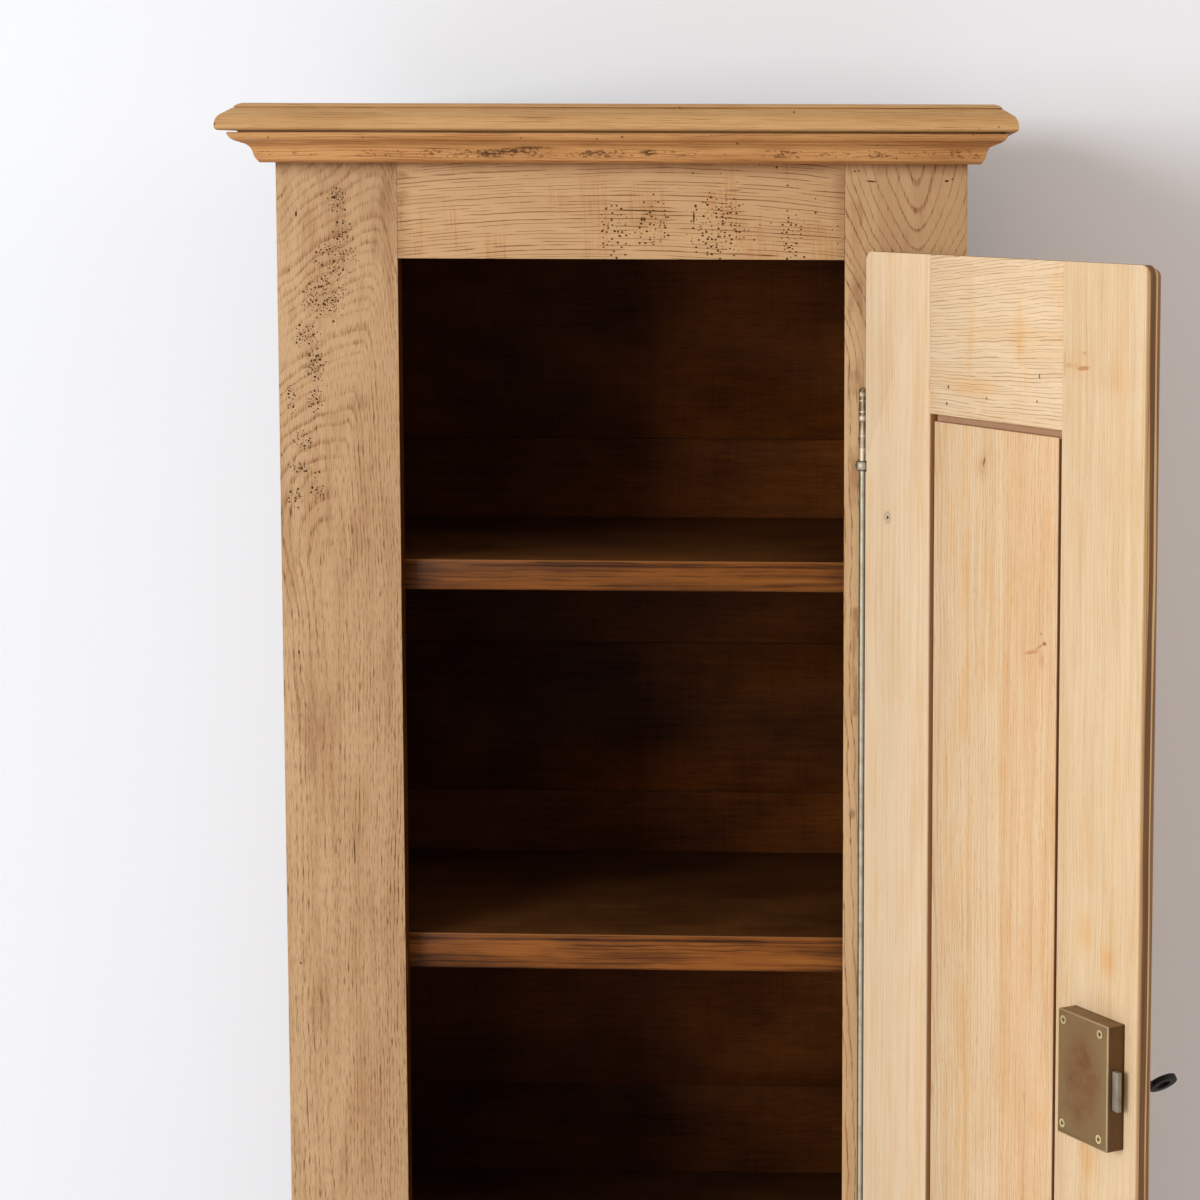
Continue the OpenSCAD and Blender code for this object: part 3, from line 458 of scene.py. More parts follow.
def metal_settings():
    return bpy.context.scene.cabinet_metal


# Face frame. Ovals are given as across, along, half the width and half the length.

# Colour of dirt, and of the painted shade under the crown and over the right stile's upper part
GRIME_AND_SHADE = (0.50, 0.37, 0.27)
HOLE_BROWN = (0.058, 0.019, 0.004)
SAWN_BROWN = (0.84, 0.62, 0.42)
WORM_FIELDS = (
    (-0.2836, 1.7543, 0.0085, 0.0120), (-0.2790, 1.7245, 0.0115, 0.0110), (-0.2860, 1.6950, 0.0190, 0.0170),
    (-0.2985, 1.6575, 0.0190, 0.0200), (-0.3150, 1.6164, 0.0110, 0.0150), (-0.3080, 1.5893, 0.0095, 0.0150),
    (-0.3090, 1.5540, 0.0080, 0.0100), (-0.3320, 1.5560, 0.0040, 0.0130), (-0.3215, 1.5140, 0.0090, 0.0110),
    (-0.3262, 1.4853, 0.0100, 0.0080), (-0.3075, 1.4682, 0.0070, 0.0130), (-0.3300, 1.4550, 0.0060, 0.0100),
)
LEFT_STILE_HOLES = (
    (-0.3251, 1.7403, 0.0010, 0.0026), (-0.2865, 1.7570, 0.0018, 0.0015),
    (-0.3287, 1.2979, 0.0009, 0.0022), (-0.3315, 0.9758, 0.0009, 0.0012),
)
LEFT_STILE_STAINS = (
    (-0.2380, 1.7530, 0.0040, 0.014), (-0.2460, 1.7090, 0.0035, 0.012), (-0.2640, 1.5500, 0.0100, 0.008),
    (-0.3250, 1.1990, 0.0025, 0.020), (-0.3080, 1.2200, 0.0060, 0.014),
)
NAIL_TIPS = (
    (0.3245, 1.7750, 0.0020, 0.0011), (0.3300, 1.7770, 0.0008, 0.0008),
    (0.2335, 1.7845, 0.0010, 0.0008), (0.2375, 1.7850, 0.0008, 0.0008),
)
# These two are on a level board, so the first number runs along it
TOP_RAIL_FIELDS = (
    (-0.0060, 1.7240, 0.014, 0.026), (0.0330, 1.7330, 0.016, 0.024),
    (0.0970, 1.7290, 0.026, 0.030), (0.1690, 1.7190, 0.012, 0.026),
)
TOP_RAIL_CORNERS = ((-0.2200, 1.7720, 0.008, 0.016), (-0.2190, 1.7400, 0.003, 0.020))


def face_tones(tone=(1.0, 1.0, 1.0)):
    values = oak_settings()
    return scaled(values.face_light, tone), scaled(values.face_dark, tone), tuple(values.pore)


def weathered(name, grain, seed, marks=None, dirt=None, tone=(1.0, 1.0, 1.0), pore=None, **grain_values):
    """Outer oak of the face frame, stained dark on its rear faces and in the door opening, and darkened by dirt
    and painted shade where dirt is given.
    """
    finish = Finish(name)
    place = cabinet_space(finish, grain)
    light, dark, usual_pore = face_tones(tone)
    colour, height = oak(finish, place, seed, (light, dark, pore or usual_pore), **grain_values)
    if grain == "X":
        colour = finish.tint(colour, sawn(finish, *place[:2]) * 0.50, SAWN_BROWN)
    if dirt is not None:
        # Dirt and painted shade, as the given function says
        colour = finish.tint(colour, dirt(finish, *place[:2]), GRIME_AND_SHADE)
    if marks is not None:
        holes = marks(finish, *place)
        colour = finish.blend(holes, colour, HOLE_BROWN)
        height = height - holes * 0.4
    stain = face_inside(finish)
    colour = finish.blend(stain, colour, stained(finish, place, seed))
    return finish.surface(colour, 0.72 - stain * 0.2, finish.bump(height, 0.0003, 0.35), specular=0.12)


def face_inside(finish):
    """The frame's rear faces and the edges of its opening are stained."""
    x, y, z = finish.parts(finish.place())
    rear = y.step(0.0232, 0.0238)
    jamb = abs(x).within(0.2225, 0.2242, 0.0003) * z.within(0.2475, 1.697, 0.001)
    head = z.within(1.6955, 1.697, 0.0003) * abs(x).below(OPENING_SIDE, 0.2240)
    return join(rear, (jamb + head) * y.step(0.0006, 0.0030))


def left_stile_rings(along, across):
    """Arches that lean to the right on their way up, with a long left limb and a steep right one."""
    middle = across - (along - 1.7047).step(-0.30, 0.05, -0.2940, -0.2440)
    off = middle.at_most(0.0) * along.step(1.30, 1.50, 0.85, 0.34) + middle.at_least(0.0) * 1.25
    return off, along.step(1.36, 2.00, 0.0, -0.150) + along * 0.006


def right_stile_rings(along, across):
    """Rings that close downwards near the top and run down the stile as lean lines."""
    return across - 0.2923, along.step(1.59, 1.80, 0.0, 0.068) + (along - 1.40) * 0.035


def top_rail_rings(along, across):
    """Rings as long level lines that sag a little towards the rail's middle."""
    return across - 1.0 + along * along * 0.26, 0.0


def left_stile_specks(along):
    """Large pores thin out towards the top."""
    return along.step(1.45, 1.60, 0.85, 0.30)


def left_stile_marks(finish, along, across, through):
    """Worm holes in a wandering band, a few single ones and two slits, on the front only."""
    field = patches(finish, across, along, WORM_FIELDS, 0.45)
    gaps = finish.noise(finish.vector(across, along, 3.0), 60.0, 1.0, 0.5).step(0.34, 0.52, 0.25, 1.0)
    holes = dots(finish, across, along, field * gaps * 0.92, 232.0, 0.205)
    fine = dots(finish, across, along, field * gaps * 0.80, 380.0, 0.20)
    single = patches(finish, across, along, LEFT_STILE_HOLES, 0.3)
    upper = blot(finish, across + (along - 1.094) * 0.03, along, (-0.2746, 1.0942), (0.0006, 0.0130), 0.4)
    lower = blot(finish, across + (along - 0.823) * 0.03, along, (-0.3270, 0.8234), (0.0006, 0.0210), 0.4)
    slits = join(upper, lower * 0.75)
    return join(holes, fine, single, slits) * through.below(0.010, 0.014)


def left_stile_dirt_and_shade(finish, along, across):
    """Painted shade under the crown, mottled with dirt, brown stains, worn streaks, the redder wood round the
    worm holes and a slight darkening below about 1.6 m.
    """
    smoke = finish.noise(finish.vector(across * 3.0, along, 1.0), 22.0, 3.0, 0.6)
    # Painted shade under the crown, broken up by a mottle of dirt
    top = along.step(1.774, FRAME_TOP) * (0.25 + 0.75 * smoke)
    stains = patches(finish, across, along, LEFT_STILE_STAINS, 0.9) * 0.55
    reddish = patches(finish, across, along, WORM_FIELDS, 0.9) * 0.26
    low = along.step(1.55, 1.72, 0.10, 0.0)
    worn = finish.clouds(along, across, 6.0, 6.0, 45.0, 3.0, 0.6).step(0.50, 0.70) * 0.38
    return join(top, stains * smoke.step(0.3, 0.6), reddish * smoke.step(0.25, 0.55), low, worn)


def right_stile_marks(finish, along, across, through):
    """Nail scars near the top and a small knot beside the rod."""
    scar = blot(finish, across + (along - 1.774) * 3.2, along, (0.2515, 1.7745), (0.0042, 0.0009), 0.3)
    tips = patches(finish, across, along, NAIL_TIPS, 0.3)
    knot = blot(finish, across, along, (0.2330, 1.1370), (0.0030, 0.0045), 0.7)
    return join(scar, tips, knot * 0.45)


def right_stile_dirt_and_shade(finish, along, across):
    """Painted shade under the crown, mottled with dirt, painted shade over the stile's upper part, dark strokes
    down the opening's edge and dirt behind the rod.
    """
    smoke = finish.noise(finish.vector(across * 3.0, along, 4.0), 22.0, 3.0, 0.6)
    # Painted shade under the crown, broken up by a mottle of dirt
    top = along.step(1.772, FRAME_TOP) * (0.3 + 0.7 * smoke)
    # Painted shade: the stile darkens towards its top
    shade = along.step(1.60, 1.72) * 0.22
    strip = across.within(0.2290, 0.2400, 0.004) * along.within(1.47, 1.74, 0.03)
    seat = abs(across - 0.2350).below(0.0010, 0.0045) * along.within(1.24, 1.345, 0.006)
    return join(top, shade, strip * smoke.step(0.42, 0.66) * 0.6, seat * smoke.step(0.35, 0.60) * 0.7)


def sawn(finish, along, across):
    """Fuzzy brown streaks across the grain of a rail."""
    thread = finish.clouds(along + across * 0.06, across, 5.0, 430.0, 18.0, 2.0, 0.6)
    where = finish.clouds(along + across * 0.10, across, 9.0, 30.0, 9.0, 2.0, 0.6)
    return where.step(0.50, 0.64) * thread.step(0.40, 0.60)


def top_rail_marks(finish, along, across, through):
    """Two cracks, a slit and scattered worm holes towards the right end."""
    crack = blot(finish, across + (along - 0.03) * 0.03, along, (1.7446, 0.0250), (0.0006, 0.0320), 0.5)
    second = blot(finish, across, along, (1.7655, 0.1140), (0.0005, 0.0080), 0.3) * 0.7
    slit = blot(finish, across, along, (1.7385, 0.0734), (0.0062, 0.0008), 0.35)
    speck = blot(finish, across, along, (1.7496, 0.0752), (0.0015, 0.0013), 0.4)
    field = patches(finish, along, across, TOP_RAIL_FIELDS, 0.4)
    holes = dots(finish, along * 0.8, across, field * 0.85, 265.0, 0.20)
    few = dots(finish, along, across, along.step(0.0, 0.10) * 0.05, 180.0, 0.15)
    return join(crack, second, slit, speck, holes, few)


def top_rail_dirt_and_shade(finish, along, across):
    """Painted shade under the crown, mottled with dirt, and dirt at the shoulders."""
    smoke = finish.noise(finish.vector(along, across * 3.0, 2.0), 30.0, 3.0, 0.6)
    # Painted shade under the crown, broken up by a mottle of dirt
    top = across.step(1.776, FRAME_TOP) * (0.2 + 0.8 * smoke)
    ends = abs(along).step(0.2060, OPENING_SIDE) * (0.1 + 0.7 * smoke)
    corner = patches(finish, along, across, TOP_RAIL_CORNERS, 0.9)
    return join(top, ends, corner * smoke.step(0.35, 0.55) * 0.8)


def right_stile_edges(spot):
    """Edges of the right stile to ease: those of the board, not of its hinge scoops."""
    rear = spot.y > 0.0225
    side = abs(spot.x - OPENING_SIDE) < 0.001 or spot.x > 0.344
    return rear or side or spot.z > 1.7 or spot.z < 0.25


LEFT_STILE_OAK = dict(
    shape=left_stile_rings, deep=0.012, ring=0.0042, waver=0.009, line=0.36, bands=0.42, pores=0.66,
    fine=(95.0, 1050.0), coarse=(62.0, 720.0), specks=left_stile_specks, strewn=0.30, mottle=0.38,
    streaks=0.28, fray=0.60, tone=(1.005, 1.015, 1.03))
RIGHT_STILE_OAK = dict(
    shape=right_stile_rings, deep=0.008, ring=0.0088, waver=0.011, line=0.22, bands=0.66, pores=0.66,
    fine=(80.0, 850.0), coarse=(60.0, 640.0), specks=0.75, strewn=0.10, mottle=0.34, streaks=0.30,
    fray=0.4, tone=(1.03, 1.04, 1.03))
TOP_RAIL_OAK = dict(
    shape=top_rail_rings, deep=0.005, ring=0.0038, waver=0.0050, line=0.18, bands=0.32, pores=1.0,
    fine=(20.0, 170.0), coarse=(46.0, 1150.0), specks=0.75, strewn=0.04, cover=0.40, mottle=0.24,
    streaks=0.16, fray=0.20, tone=(1.00, 0.975, 0.93), pore=(0.150, 0.050, 0.013))
BOTTOM_RAIL_OAK = dict(
    centre=0.0, deep=0.005, ring=0.005, waver=0.008, line=0.2, bands=0.3, pores=0.7, fine=(30.0, 150.0),
    coarse=(62.0, 1000.0))


class CABINET_OT_face_frame(bpy.types.Operator):
    """Finishes the stiles and rails of the face frame"""
    bl_idname = "cabinet.face_frame"
    bl_label = "Face frame"

    def execute(self, context):
        wear = context.scene.cabinet_oak.wear
        left = weathered("oak_stile_left", "Z", 1.0, left_stile_marks, left_stile_dirt_and_shade, **LEFT_STILE_OAK)
        right = weathered("oak_stile_right", "Z", 2.0, right_stile_marks, right_stile_dirt_and_shade, **RIGHT_STILE_OAK)
        top = weathered("oak_rail_top", "X", 3.0, top_rail_marks, top_rail_dirt_and_shade, **TOP_RAIL_OAK)
        bottom = weathered("oak_rail_bottom", "X", 4.0, **BOTTOM_RAIL_OAK)
        eased("face_stile_left", left, wear)
        eased("face_stile_right", right, wear, keep=right_stile_edges)
        eased("face_rail_top", top, wear)
        eased("face_rail_bottom", bottom, wear)
        return {"FINISHED"}


# Cornice. Ovals are given as along, height, half the length and half the height.

CROWN_TEARS = (
    (-0.1250, 1.8010, 0.0130, 0.0035), (-0.1080, 1.8030, 0.0150, 0.0030),
    (-0.0860, 1.8065, 0.0200, 0.0014), (0.0300, 1.8020, 0.0080, 0.0030),
)
GOUGE_BROWN = (0.135, 0.046, 0.010)
TEAR_BROWN = (0.075, 0.024, 0.006)
CORNICE_HOLE = (0.08, 0.03, 0.012)


def crown_wear_and_shade(finish, place, z, colour, height):
    """Gouges and tears along the crown's lower half, and painted shade under its reed and at its foot."""
    along = place[0]
    rough = finish.noise(finish.mapped(finish.vector(*place), scale=(210.0, 460.0, 140.0)), 1.0, 3.0, 0.65)
    heavy = finish.clouds(along, 0.0, 7.0, 14.0, 1.0, 1.0, 0.5)
    often = along.step(-0.26, -0.12, 0.25, 1.0) * along.step(0.00, 0.10, 1.0, 0.55)
    gouges = (rough + (heavy - 0.5) * 0.8 + (often - 1.0) * 0.16).step(0.50, 0.60)
    gouges = z.within(1.7985, 1.8035, 0.0025) * gouges
    colour = finish.blend(gouges * 0.85, colour, GOUGE_BROWN)
    torn = patches(finish, along, z, CROWN_TEARS, 0.6)
    colour = finish.blend(torn * rough.step(0.40, 0.52) * 0.9, colour, TEAR_BROWN)
    # Painted shade under the reed and at the crown's foot
    reed = z.within(1.8128, 1.8136, 0.0012)
    foot = z.below(1.7925, 1.7955)
    return finish.tint(colour, join(foot * 0.6, reed * 0.3), (0.50, 0.32, 0.20)), height - gouges * 0.1


def board_shade_and_seam(finish, place, z, colour, height):
    """Painted shade in the cornice board's quirk and at its foot, and the faint joint between its two lengths.
    """
    # Painted shade in the quirk and at the board's foot
    quirk = z.within(1.8448, 1.8462, 0.0010)
    foot = z.below(1.8235, 1.8262)
    colour = finish.tint(colour, join(quirk * 0.10, foot * 0.6), (0.42, 0.30, 0.20))
    seam = place[0].within(-0.0527, -0.0521, 0.0004)
    return finish.tint(colour, seam * 0.12, (0.45, 0.33, 0.25)), height


def golden(name, grain, seed, tone, wear, rich=1.0, ring=0.0030):
    """Golden-brown oak of the cornice. Rich says how strongly its grain shows, and wear adds each piece's marks
    and painted shade.
    """
    values = oak_settings()
    finish = Finish(name)
    place = cabinet_space(finish, grain)
    z = finish.parts(finish.place())[2]
    tones = (scaled(values.cornice_light, tone), scaled(values.cornice_dark, tone), tuple(values.pore))
    colour, height = oak(finish, place, seed, tones, deep=0.01, centre=1.6, ring=ring, waver=0.006,
                         bands=0.7 * rich, pores=0.60 * rich, fine=(30.0, 1000.0), coarse=(20.0, 700.0),
                         specks=0.60 * rich, mottle=0.55 * rich, streaks=0.55 * rich)
    colour, height = wear(finish, place, z, colour, height)
    colour = finish.blend(dots(finish, place[0], place[1], 0.025, 160.0, 0.13), colour, CORNICE_HOLE)
    return finish.surface(colour, 0.55, finish.bump(height, 0.0003, 0.7), specular=0.18)


class CABINET_OT_cornice(bpy.types.Operator):
    """Finishes the cornice board and the crown mouldings"""
    bl_idname = "cabinet.cornice"
    bl_label = "Cornice"

    def execute(self, context):
        board = golden("oak_cornice_board", "X", 5.0, (0.90, 0.91, 0.87), board_shade_and_seam, 0.62, 0.0021)
        eased("cornice_board", board, 0.0006)
        eased("crown_front", golden("oak_crown_front", "X", 6.0, (0.95, 0.84, 0.72), crown_wear_and_shade), 0.0005)
        for side, seed in (("left", 7.0), ("right", 8.0)):
            material = golden("oak_crown_" + side, "Y", seed, (0.90, 0.80, 0.70), crown_wear_and_shade)
            eased("crown_" + side, material, 0.0005)
        return {"FINISHED"}


# Sides and back. Each side member has the centre line of its rings, or None where it is a level board.
# Each back board, from the first on, has how much its stain is lightened. Behind, all of them are bare:
# late wood, early wood and pores.

SIDE_MEMBERS = (
    ("front_stile", 0.06), ("rear_stile", 0.40), ("top_rail", None), ("middle_rail", None),
    ("bottom_rail", None), ("upper_panel", 0.23), ("lower_panel", 0.23),
)
BACK_PATCHES = (0.0, 0.05, 0.12, 0.0, 0.0, 0.12, 0.0, 0.05, 0.1, 0.0)
BARE_BACK = ((0.27, 0.19, 0.12), (0.17, 0.11, 0.065), (0.06, 0.035, 0.02))


def side_oak(name, seed, centre):
    """Outer oak of a side member, which is stained on its inner face."""
    finish = Finish(name)
    x, y, z = finish.parts(finish.place())
    upright = centre is not None
    place = (z, y, abs(x)) if upright else (y, z, abs(x))
    colour, height = oak(finish, place, seed, face_tones(), deep=-0.32, centre=centre if upright else 1.0,
                         rise=-0.06 if upright else 0.0, ring=0.0070, waver=0.016, bands=0.45, mottle=0.35,
                         streaks=0.3)
    stain = abs(x).below(INNER_X + 0.0012, INNER_X + 0.0024)
    colour = finish.blend(stain, colour, stained(finish, place, seed))
    return finish.surface(colour, 0.72 - stain * 0.2, finish.bump(height, 0.0003, 0.7), specular=0.25)


class CABINET_OT_sides(bpy.types.Operator):
    """Finishes the framed sides, tan outside and stained inside"""
    bl_idname = "cabinet.sides"
    bl_label = "Sides"

    def execute(self, context):
        wear = context.scene.cabinet_oak.wear
        for side, seed in (("left", 10.0), ("right", 20.0)):
            for order, (member, centre) in enumerate(SIDE_MEMBERS):
                name = "side_" + member + "_" + side
                eased(name, side_oak("oak_" + name, seed + order, centre), wear)
        return {"FINISHED"}


class CABINET_OT_back(bpy.types.Operator):
    """Finishes the back boards, stained inside and bare behind, and their nails"""
    bl_idname = "cabinet.back"
    bl_label = "Back"

    def execute(self, context):
        for order, patch in enumerate(BACK_PATCHES, 1):
            eased("back_board_%d" % order, self.board(order, patch), 0.0006)
        nails = frame["nodes"]["back_nails"].data.materials
        nails.clear()
        nails.append(iron("iron_nails"))
        return {"FINISHED"}

    def board(self, order, patch):
        """Stain with painted shade on the left, round 1.2 m and low down, and bare oak behind."""
        finish = Finish("oak_back_board_%d" % order)
        place = cabinet_space(finish, "X")
        seed = 30.0 + order * 1.3
        inside = stained(finish, place, seed, patch)
        # Painted shade over the stain: darker to the left, in a band round 1.2 m and low down
        inside = finish.tint(inside, place[0].below(-0.22, 0.16), (0.62, 0.60, 0.70))
        inside = finish.tint(inside, place[1].within(1.14, 1.30, 0.04) * 0.8, (0.62, 0.66, 0.72))
        inside = finish.tint(inside, place[1].below(0.72, 0.82) * 0.85, (0.62, 0.64, 0.72))
        bare, height = oak(finish, place, seed, BARE_BACK, deep=-0.40, centre=1.9 - order * 0.17,
                           ring=0.0075, waver=0.02, bands=0.5)
        front = place[2].below(BACK_Y + 0.0008, BACK_Y + 0.0016)
        colour = finish.blend(front, bare, inside)
        return finish.surface(colour, 0.75 - front * 0.25, finish.bump(height, 0.0002, 0.5), specular=0.04)


# Shelves. Each has the brightness of its front edge's late wood.

SHELVES = (("shelf_1", 0.95), ("shelf_2", 1.20), ("shelf_3", 1.10), ("cabinet_floor", 1.0))
# A greyer, bluer tint over the shelves' stain: a painted sheen on their tops
SHELF_TOP_SHEEN = (1.15, 1.6, 3.4)
SHELF_EDGE_LIGHT = (0.205, 0.064, 0.0095)
SHELF_EDGE_DARK = (0.070, 0.020, 0.003)
SHELF_EDGE_PORE = (0.025, 0.007, 0.002)


def shelf_edge(finish, x, y, z, seed, low, top, bright):
    """A shelf's front edge: streaky, with painted shade to the left, darker along its foot, a painted glow of
    light low on the right, and a worn arris.
    """
    tones = (scaled(SHELF_EDGE_LIGHT, (bright, bright, bright)), SHELF_EDGE_DARK, SHELF_EDGE_PORE)
    edge, height = oak(finish, (x, z, y), seed, tones, deep=0.01, centre=top - 0.1, ring=0.0045, waver=0.006,
                       bands=0.65, pores=0.4, fine=(26.0, 700.0), coarse=(20.0, 500.0), specks=0.6,
                       mottle=0.9, streaks=0.6)
    streak = finish.clouds(x, z, seed, 7.0, 90.0, 2.0, 0.6)
    band = z.within(top - 0.0062, top - 0.0044, 0.0012)
    edge = finish.tint(edge, band * streak.step(0.30, 0.55) * 0.8, (0.30, 0.24, 0.20))
    # Painted shade towards the left end, and a darkening along the foot
    left = x.below(-0.215, -0.10) * streak.step(0.25, 0.55) * 0.8
    edge = finish.tint(edge, join(left, z.step(low, low + 0.003, 0.7, 0.0)), (0.34, 0.28, 0.24))
    # Painted light: an orange glow low on the right
    glow = z.within(low + 0.003, low + 0.012, 0.003) * x.step(0.02, 0.20) * streak.step(0.40, 0.60)
    edge = finish.blend(glow * 0.7, edge, (0.30, 0.105, 0.016))
    arris = z.step(top - 0.0016, top - 0.0006)
    return finish.blend(arris * 0.7, edge, (0.30, 0.120, 0.036)), height


class CABINET_OT_shelves(bpy.types.Operator):
    """Finishes the shelves, the floor and the cleats"""
    bl_idname = "cabinet.shelves"
    bl_label = "Shelves"

    def execute(self, context):
        for order, (name, bright) in enumerate(SHELVES):
            finish = Finish("oak_" + name)
            x, y, z = finish.parts(finish.place())
            seed = 50.0 + order * 2.0
            low, top = (corner[2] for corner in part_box(name))
            # The stain with its painted sheen
            colour = finish.tint(stained(finish, (x, y, z), seed, 0.05), 1.0, SHELF_TOP_SHEEN)
            edge, height = shelf_edge(finish, x, y, z, seed, low, top, bright)
            colour = finish.blend(y.below(0.0250, 0.0262), colour, edge)
            material = finish.surface(colour, 0.38, finish.bump(height, 0.0002, 0.5), specular=0.13)
            eased(name, material, 0.0016, 3)
        for side in ("left", "right"):
            finish = Finish("oak_cleats_" + side)
            colour = stained(finish, cabinet_space(finish, "Y"), 60.0)
            material = finish.surface(colour, 0.6, None, specular=0.15)
            eased("shelf_cleats_" + side, material, 0.0010)
        return {"FINISHED"}


# Door. Ovals are given as across, height, half the width and half the height.

LOCK_STILE_FAINT = ((-0.3560, 1.3740, 0.0110, 0.0022), (-0.3790, 1.3860, 0.0060, 0.0016))
LOCK_STILE_WARM = ((-0.3720, 1.3770, 0.024, 0.012), (-0.4250, 1.3640, 0.026, 0.012))
LOCK_STILE_ORANGE = (
    (-0.3870, 0.8620, 0.010, 0.016), (-0.4210, 0.8430, 0.011, 0.012),
    (-0.3940, 0.6500, 0.007, 0.015), (-0.3860, 0.6610, 0.006, 0.010),
)
TOP_RAIL_STREAKS = (
    (-0.1890, 1.3980, 0.007, 0.050), (-0.2731, 1.3960, 0.008, 0.040),
    (-0.2786, 1.3560, 0.007, 0.020), (-0.3366, 1.4450, 0.012, 0.030),
)
TOP_RAIL_LOW = ((-0.1247, 1.3290, 0.006, 0.008), (-0.1900, 1.3450, 0.030, 0.010))
TOP_RAIL_HOLES = (
    (-0.1519, 1.3416, 0.0014, 0.0016), (-0.1493, 1.3255, 0.0014, 0.0014), (-0.2182, 1.3350, 0.0011, 0.0012),
    (-0.3055, 1.3609, 0.0010, 0.0024), (-0.3017, 1.3376, 0.0010, 0.0014),
)
# Groove walls near the inner face and deep in; the darker deep colour is painted shade
GROOVE_WALLS = ((0.38, 0.165, 0.055), (0.15, 0.055, 0.016))


def door_oak(name, grain, seed, marks=None, panel=False, tone=(1.0, 1.0, 1.0), pore=(0.40, 0.215, 0.085),
             walls=GROOVE_WALLS, threads=0.55, **grain_values):
    """The door's oak: pale and sanded on the inner face, brown in the panel groove with painted shade deeper
    in, tan outside.
    """
    values = oak_settings()
    finish = Finish(name)
    x, y, z = door_space(finish)
    upright = grain == "Z"
    place = (z, x, y) if upright else (x, z, y)
    along, across, _ = place
    tones = (scaled(values.door_light, tone), scaled(values.door_dark, tone), pore)
    pale, height = oak(finish, place, seed, tones, **grain_values)
    warm = finish.clouds(along, across, seed, 5.0, 34.0, 3.0, 0.6)
    spotty = finish.clouds(x, z, seed + 2.0, 30.0, 14.0, 2.0, 0.6)
    pale = finish.tint(pale, warm.step(0.46, 0.68) * 0.45 + spotty.step(0.58, 0.74) * 0.35, (0.98, 0.86, 0.69))
    if upright:
        wave = finish.clouds(along, across, seed + 4.0, 7.0, 12.0, 1.0, 0.5)
        lines = finish.clouds(along, across + wave * 0.012, seed + 6.0, 4.0, 430.0, 2.0, 0.5)
        pale = finish.tint(pale, lines.step(0.46, 0.62) * threads, (0.91, 0.82, 0.69))
    if marks is not None:
        pale = marks(finish, x, z, pale)
    tan, _ = oak(finish, place, seed + 5.0, face_tones(), deep=0.045, rise=-0.06 if upright else 0.0,
                 centre=-0.235 if upright else 0.5, ring=0.0070, waver=0.016, bands=0.45, mottle=0.35,
                 streaks=0.3)
    if panel:
        colour = panel_depths(finish, x, z, -y, warm, pale, tan)
    else:
        colour = frame_depths(finish, x, y, z, walls, pale, tan)
    return finish.surface(colour, 0.6, finish.bump(height, 0.00016, 0.55), specular=0.3)


def panel_depths(finish, x, z, depth, warm, pale, tan):
    """Colour of the panel from its inner face, past its flanks, to its outer face. The dark flanks are partly
    painted shade in the groove, darkest on the lock side, and the top flank has painted light near the face and
    the rail's painted shadow deeper in.
    """
    # Dark brown flanks, partly painted shade in the groove
    flank = finish.blend(warm, (0.36, 0.155, 0.055), (0.20, 0.075, 0.024))
    # Painted shade: the flank on the lock side is darker still
    flank = finish.blend(x.below(-0.3350, -0.3344), flank, (0.190, 0.068, 0.018))
    # Painted light on the upward-facing top flank
    top_flank_lit = finish.blend(warm, (0.80, 0.57, 0.38), (0.62, 0.41, 0.25))
    # Painted shadow of the rail over the top flank's deeper part
    upper = finish.blend(depth.step(0.0035, 0.0060), top_flank_lit, (0.44, 0.245, 0.130))
    flank = finish.blend(z.step(1.3058, 1.3064) * depth.step(0.0016, 0.0030), flank, upper)
    colour = finish.blend(depth.step(0.0016, 0.0026), pale, flank)
    return finish.blend(depth.step(0.0135, 0.0145), colour, tan)


def frame_depths(finish, x, y, z, walls, pale, tan):
    """Colour of a stile or rail from its inner face, down its edges, to its outer face, with painted shade
    deeper in the panel groove.
    """
    depth = -y
    free = x.below(-DOOR_WIDTH + 0.0155, -DOOR_WIDTH + DOOR_EDGE)
    rim = join(x.step(-DOOR_EDGE, -0.0155), free, z.below(0.0155, DOOR_EDGE),
               z.step(DOOR_HEIGHT - DOOR_EDGE, DOOR_HEIGHT - 0.0155))
    streak = finish.noise(finish.mapped(finish.vector(z, x, y), scale=(8.0, 8.0, 900.0)), 1.0, 2.0, 0.6)
    layer = depth + (finish.clouds(z, x, 3.0, 3.5, 3.5, 1.0, 0.5) - 0.5) * 0.010
    edge = finish.blend(streak.step(0.35, 0.65), (0.60, 0.345, 0.135), (0.30, 0.140, 0.048))
    for low, high, soft, amount, colour in (
        (0.0036, 0.0085, 0.0010, (0.75 + streak * 0.4).at_most(1.0), (0.140, 0.060, 0.021)),
        (0.0098, 0.0118, 0.0008, 0.4 + streak * 0.6, (0.80, 0.53, 0.27)),
        (0.0132, 0.0162, 0.0010, (0.5 + streak * 0.6).at_most(1.0), (0.155, 0.068, 0.024)),
    ):
        edge = finish.blend(layer.within(low, high, soft) * amount, edge, colour)
    edge = finish.blend(depth.step(0.0205, 0.0212), edge, finish.tint(tan, 1.0, (0.95, 0.86, 0.74)))
    # The groove walls darken with depth as painted shade
    inner = finish.blend(rim, finish.blend(depth.step(0.004, 0.010), *walls), edge)
    colour = finish.blend(depth.step(0.0009, 0.0016), pale, inner)
    brink = x.below(-DOOR_WIDTH + 0.0010, -DOOR_WIDTH + 0.0030) * depth.below(0.0009, 0.0016)
    colour = finish.blend(brink * 0.75, colour, (0.40, 0.215, 0.095))
    return finish.blend(depth.step(DOOR_BACK, DOOR_BACK + 0.0005), colour, tan)


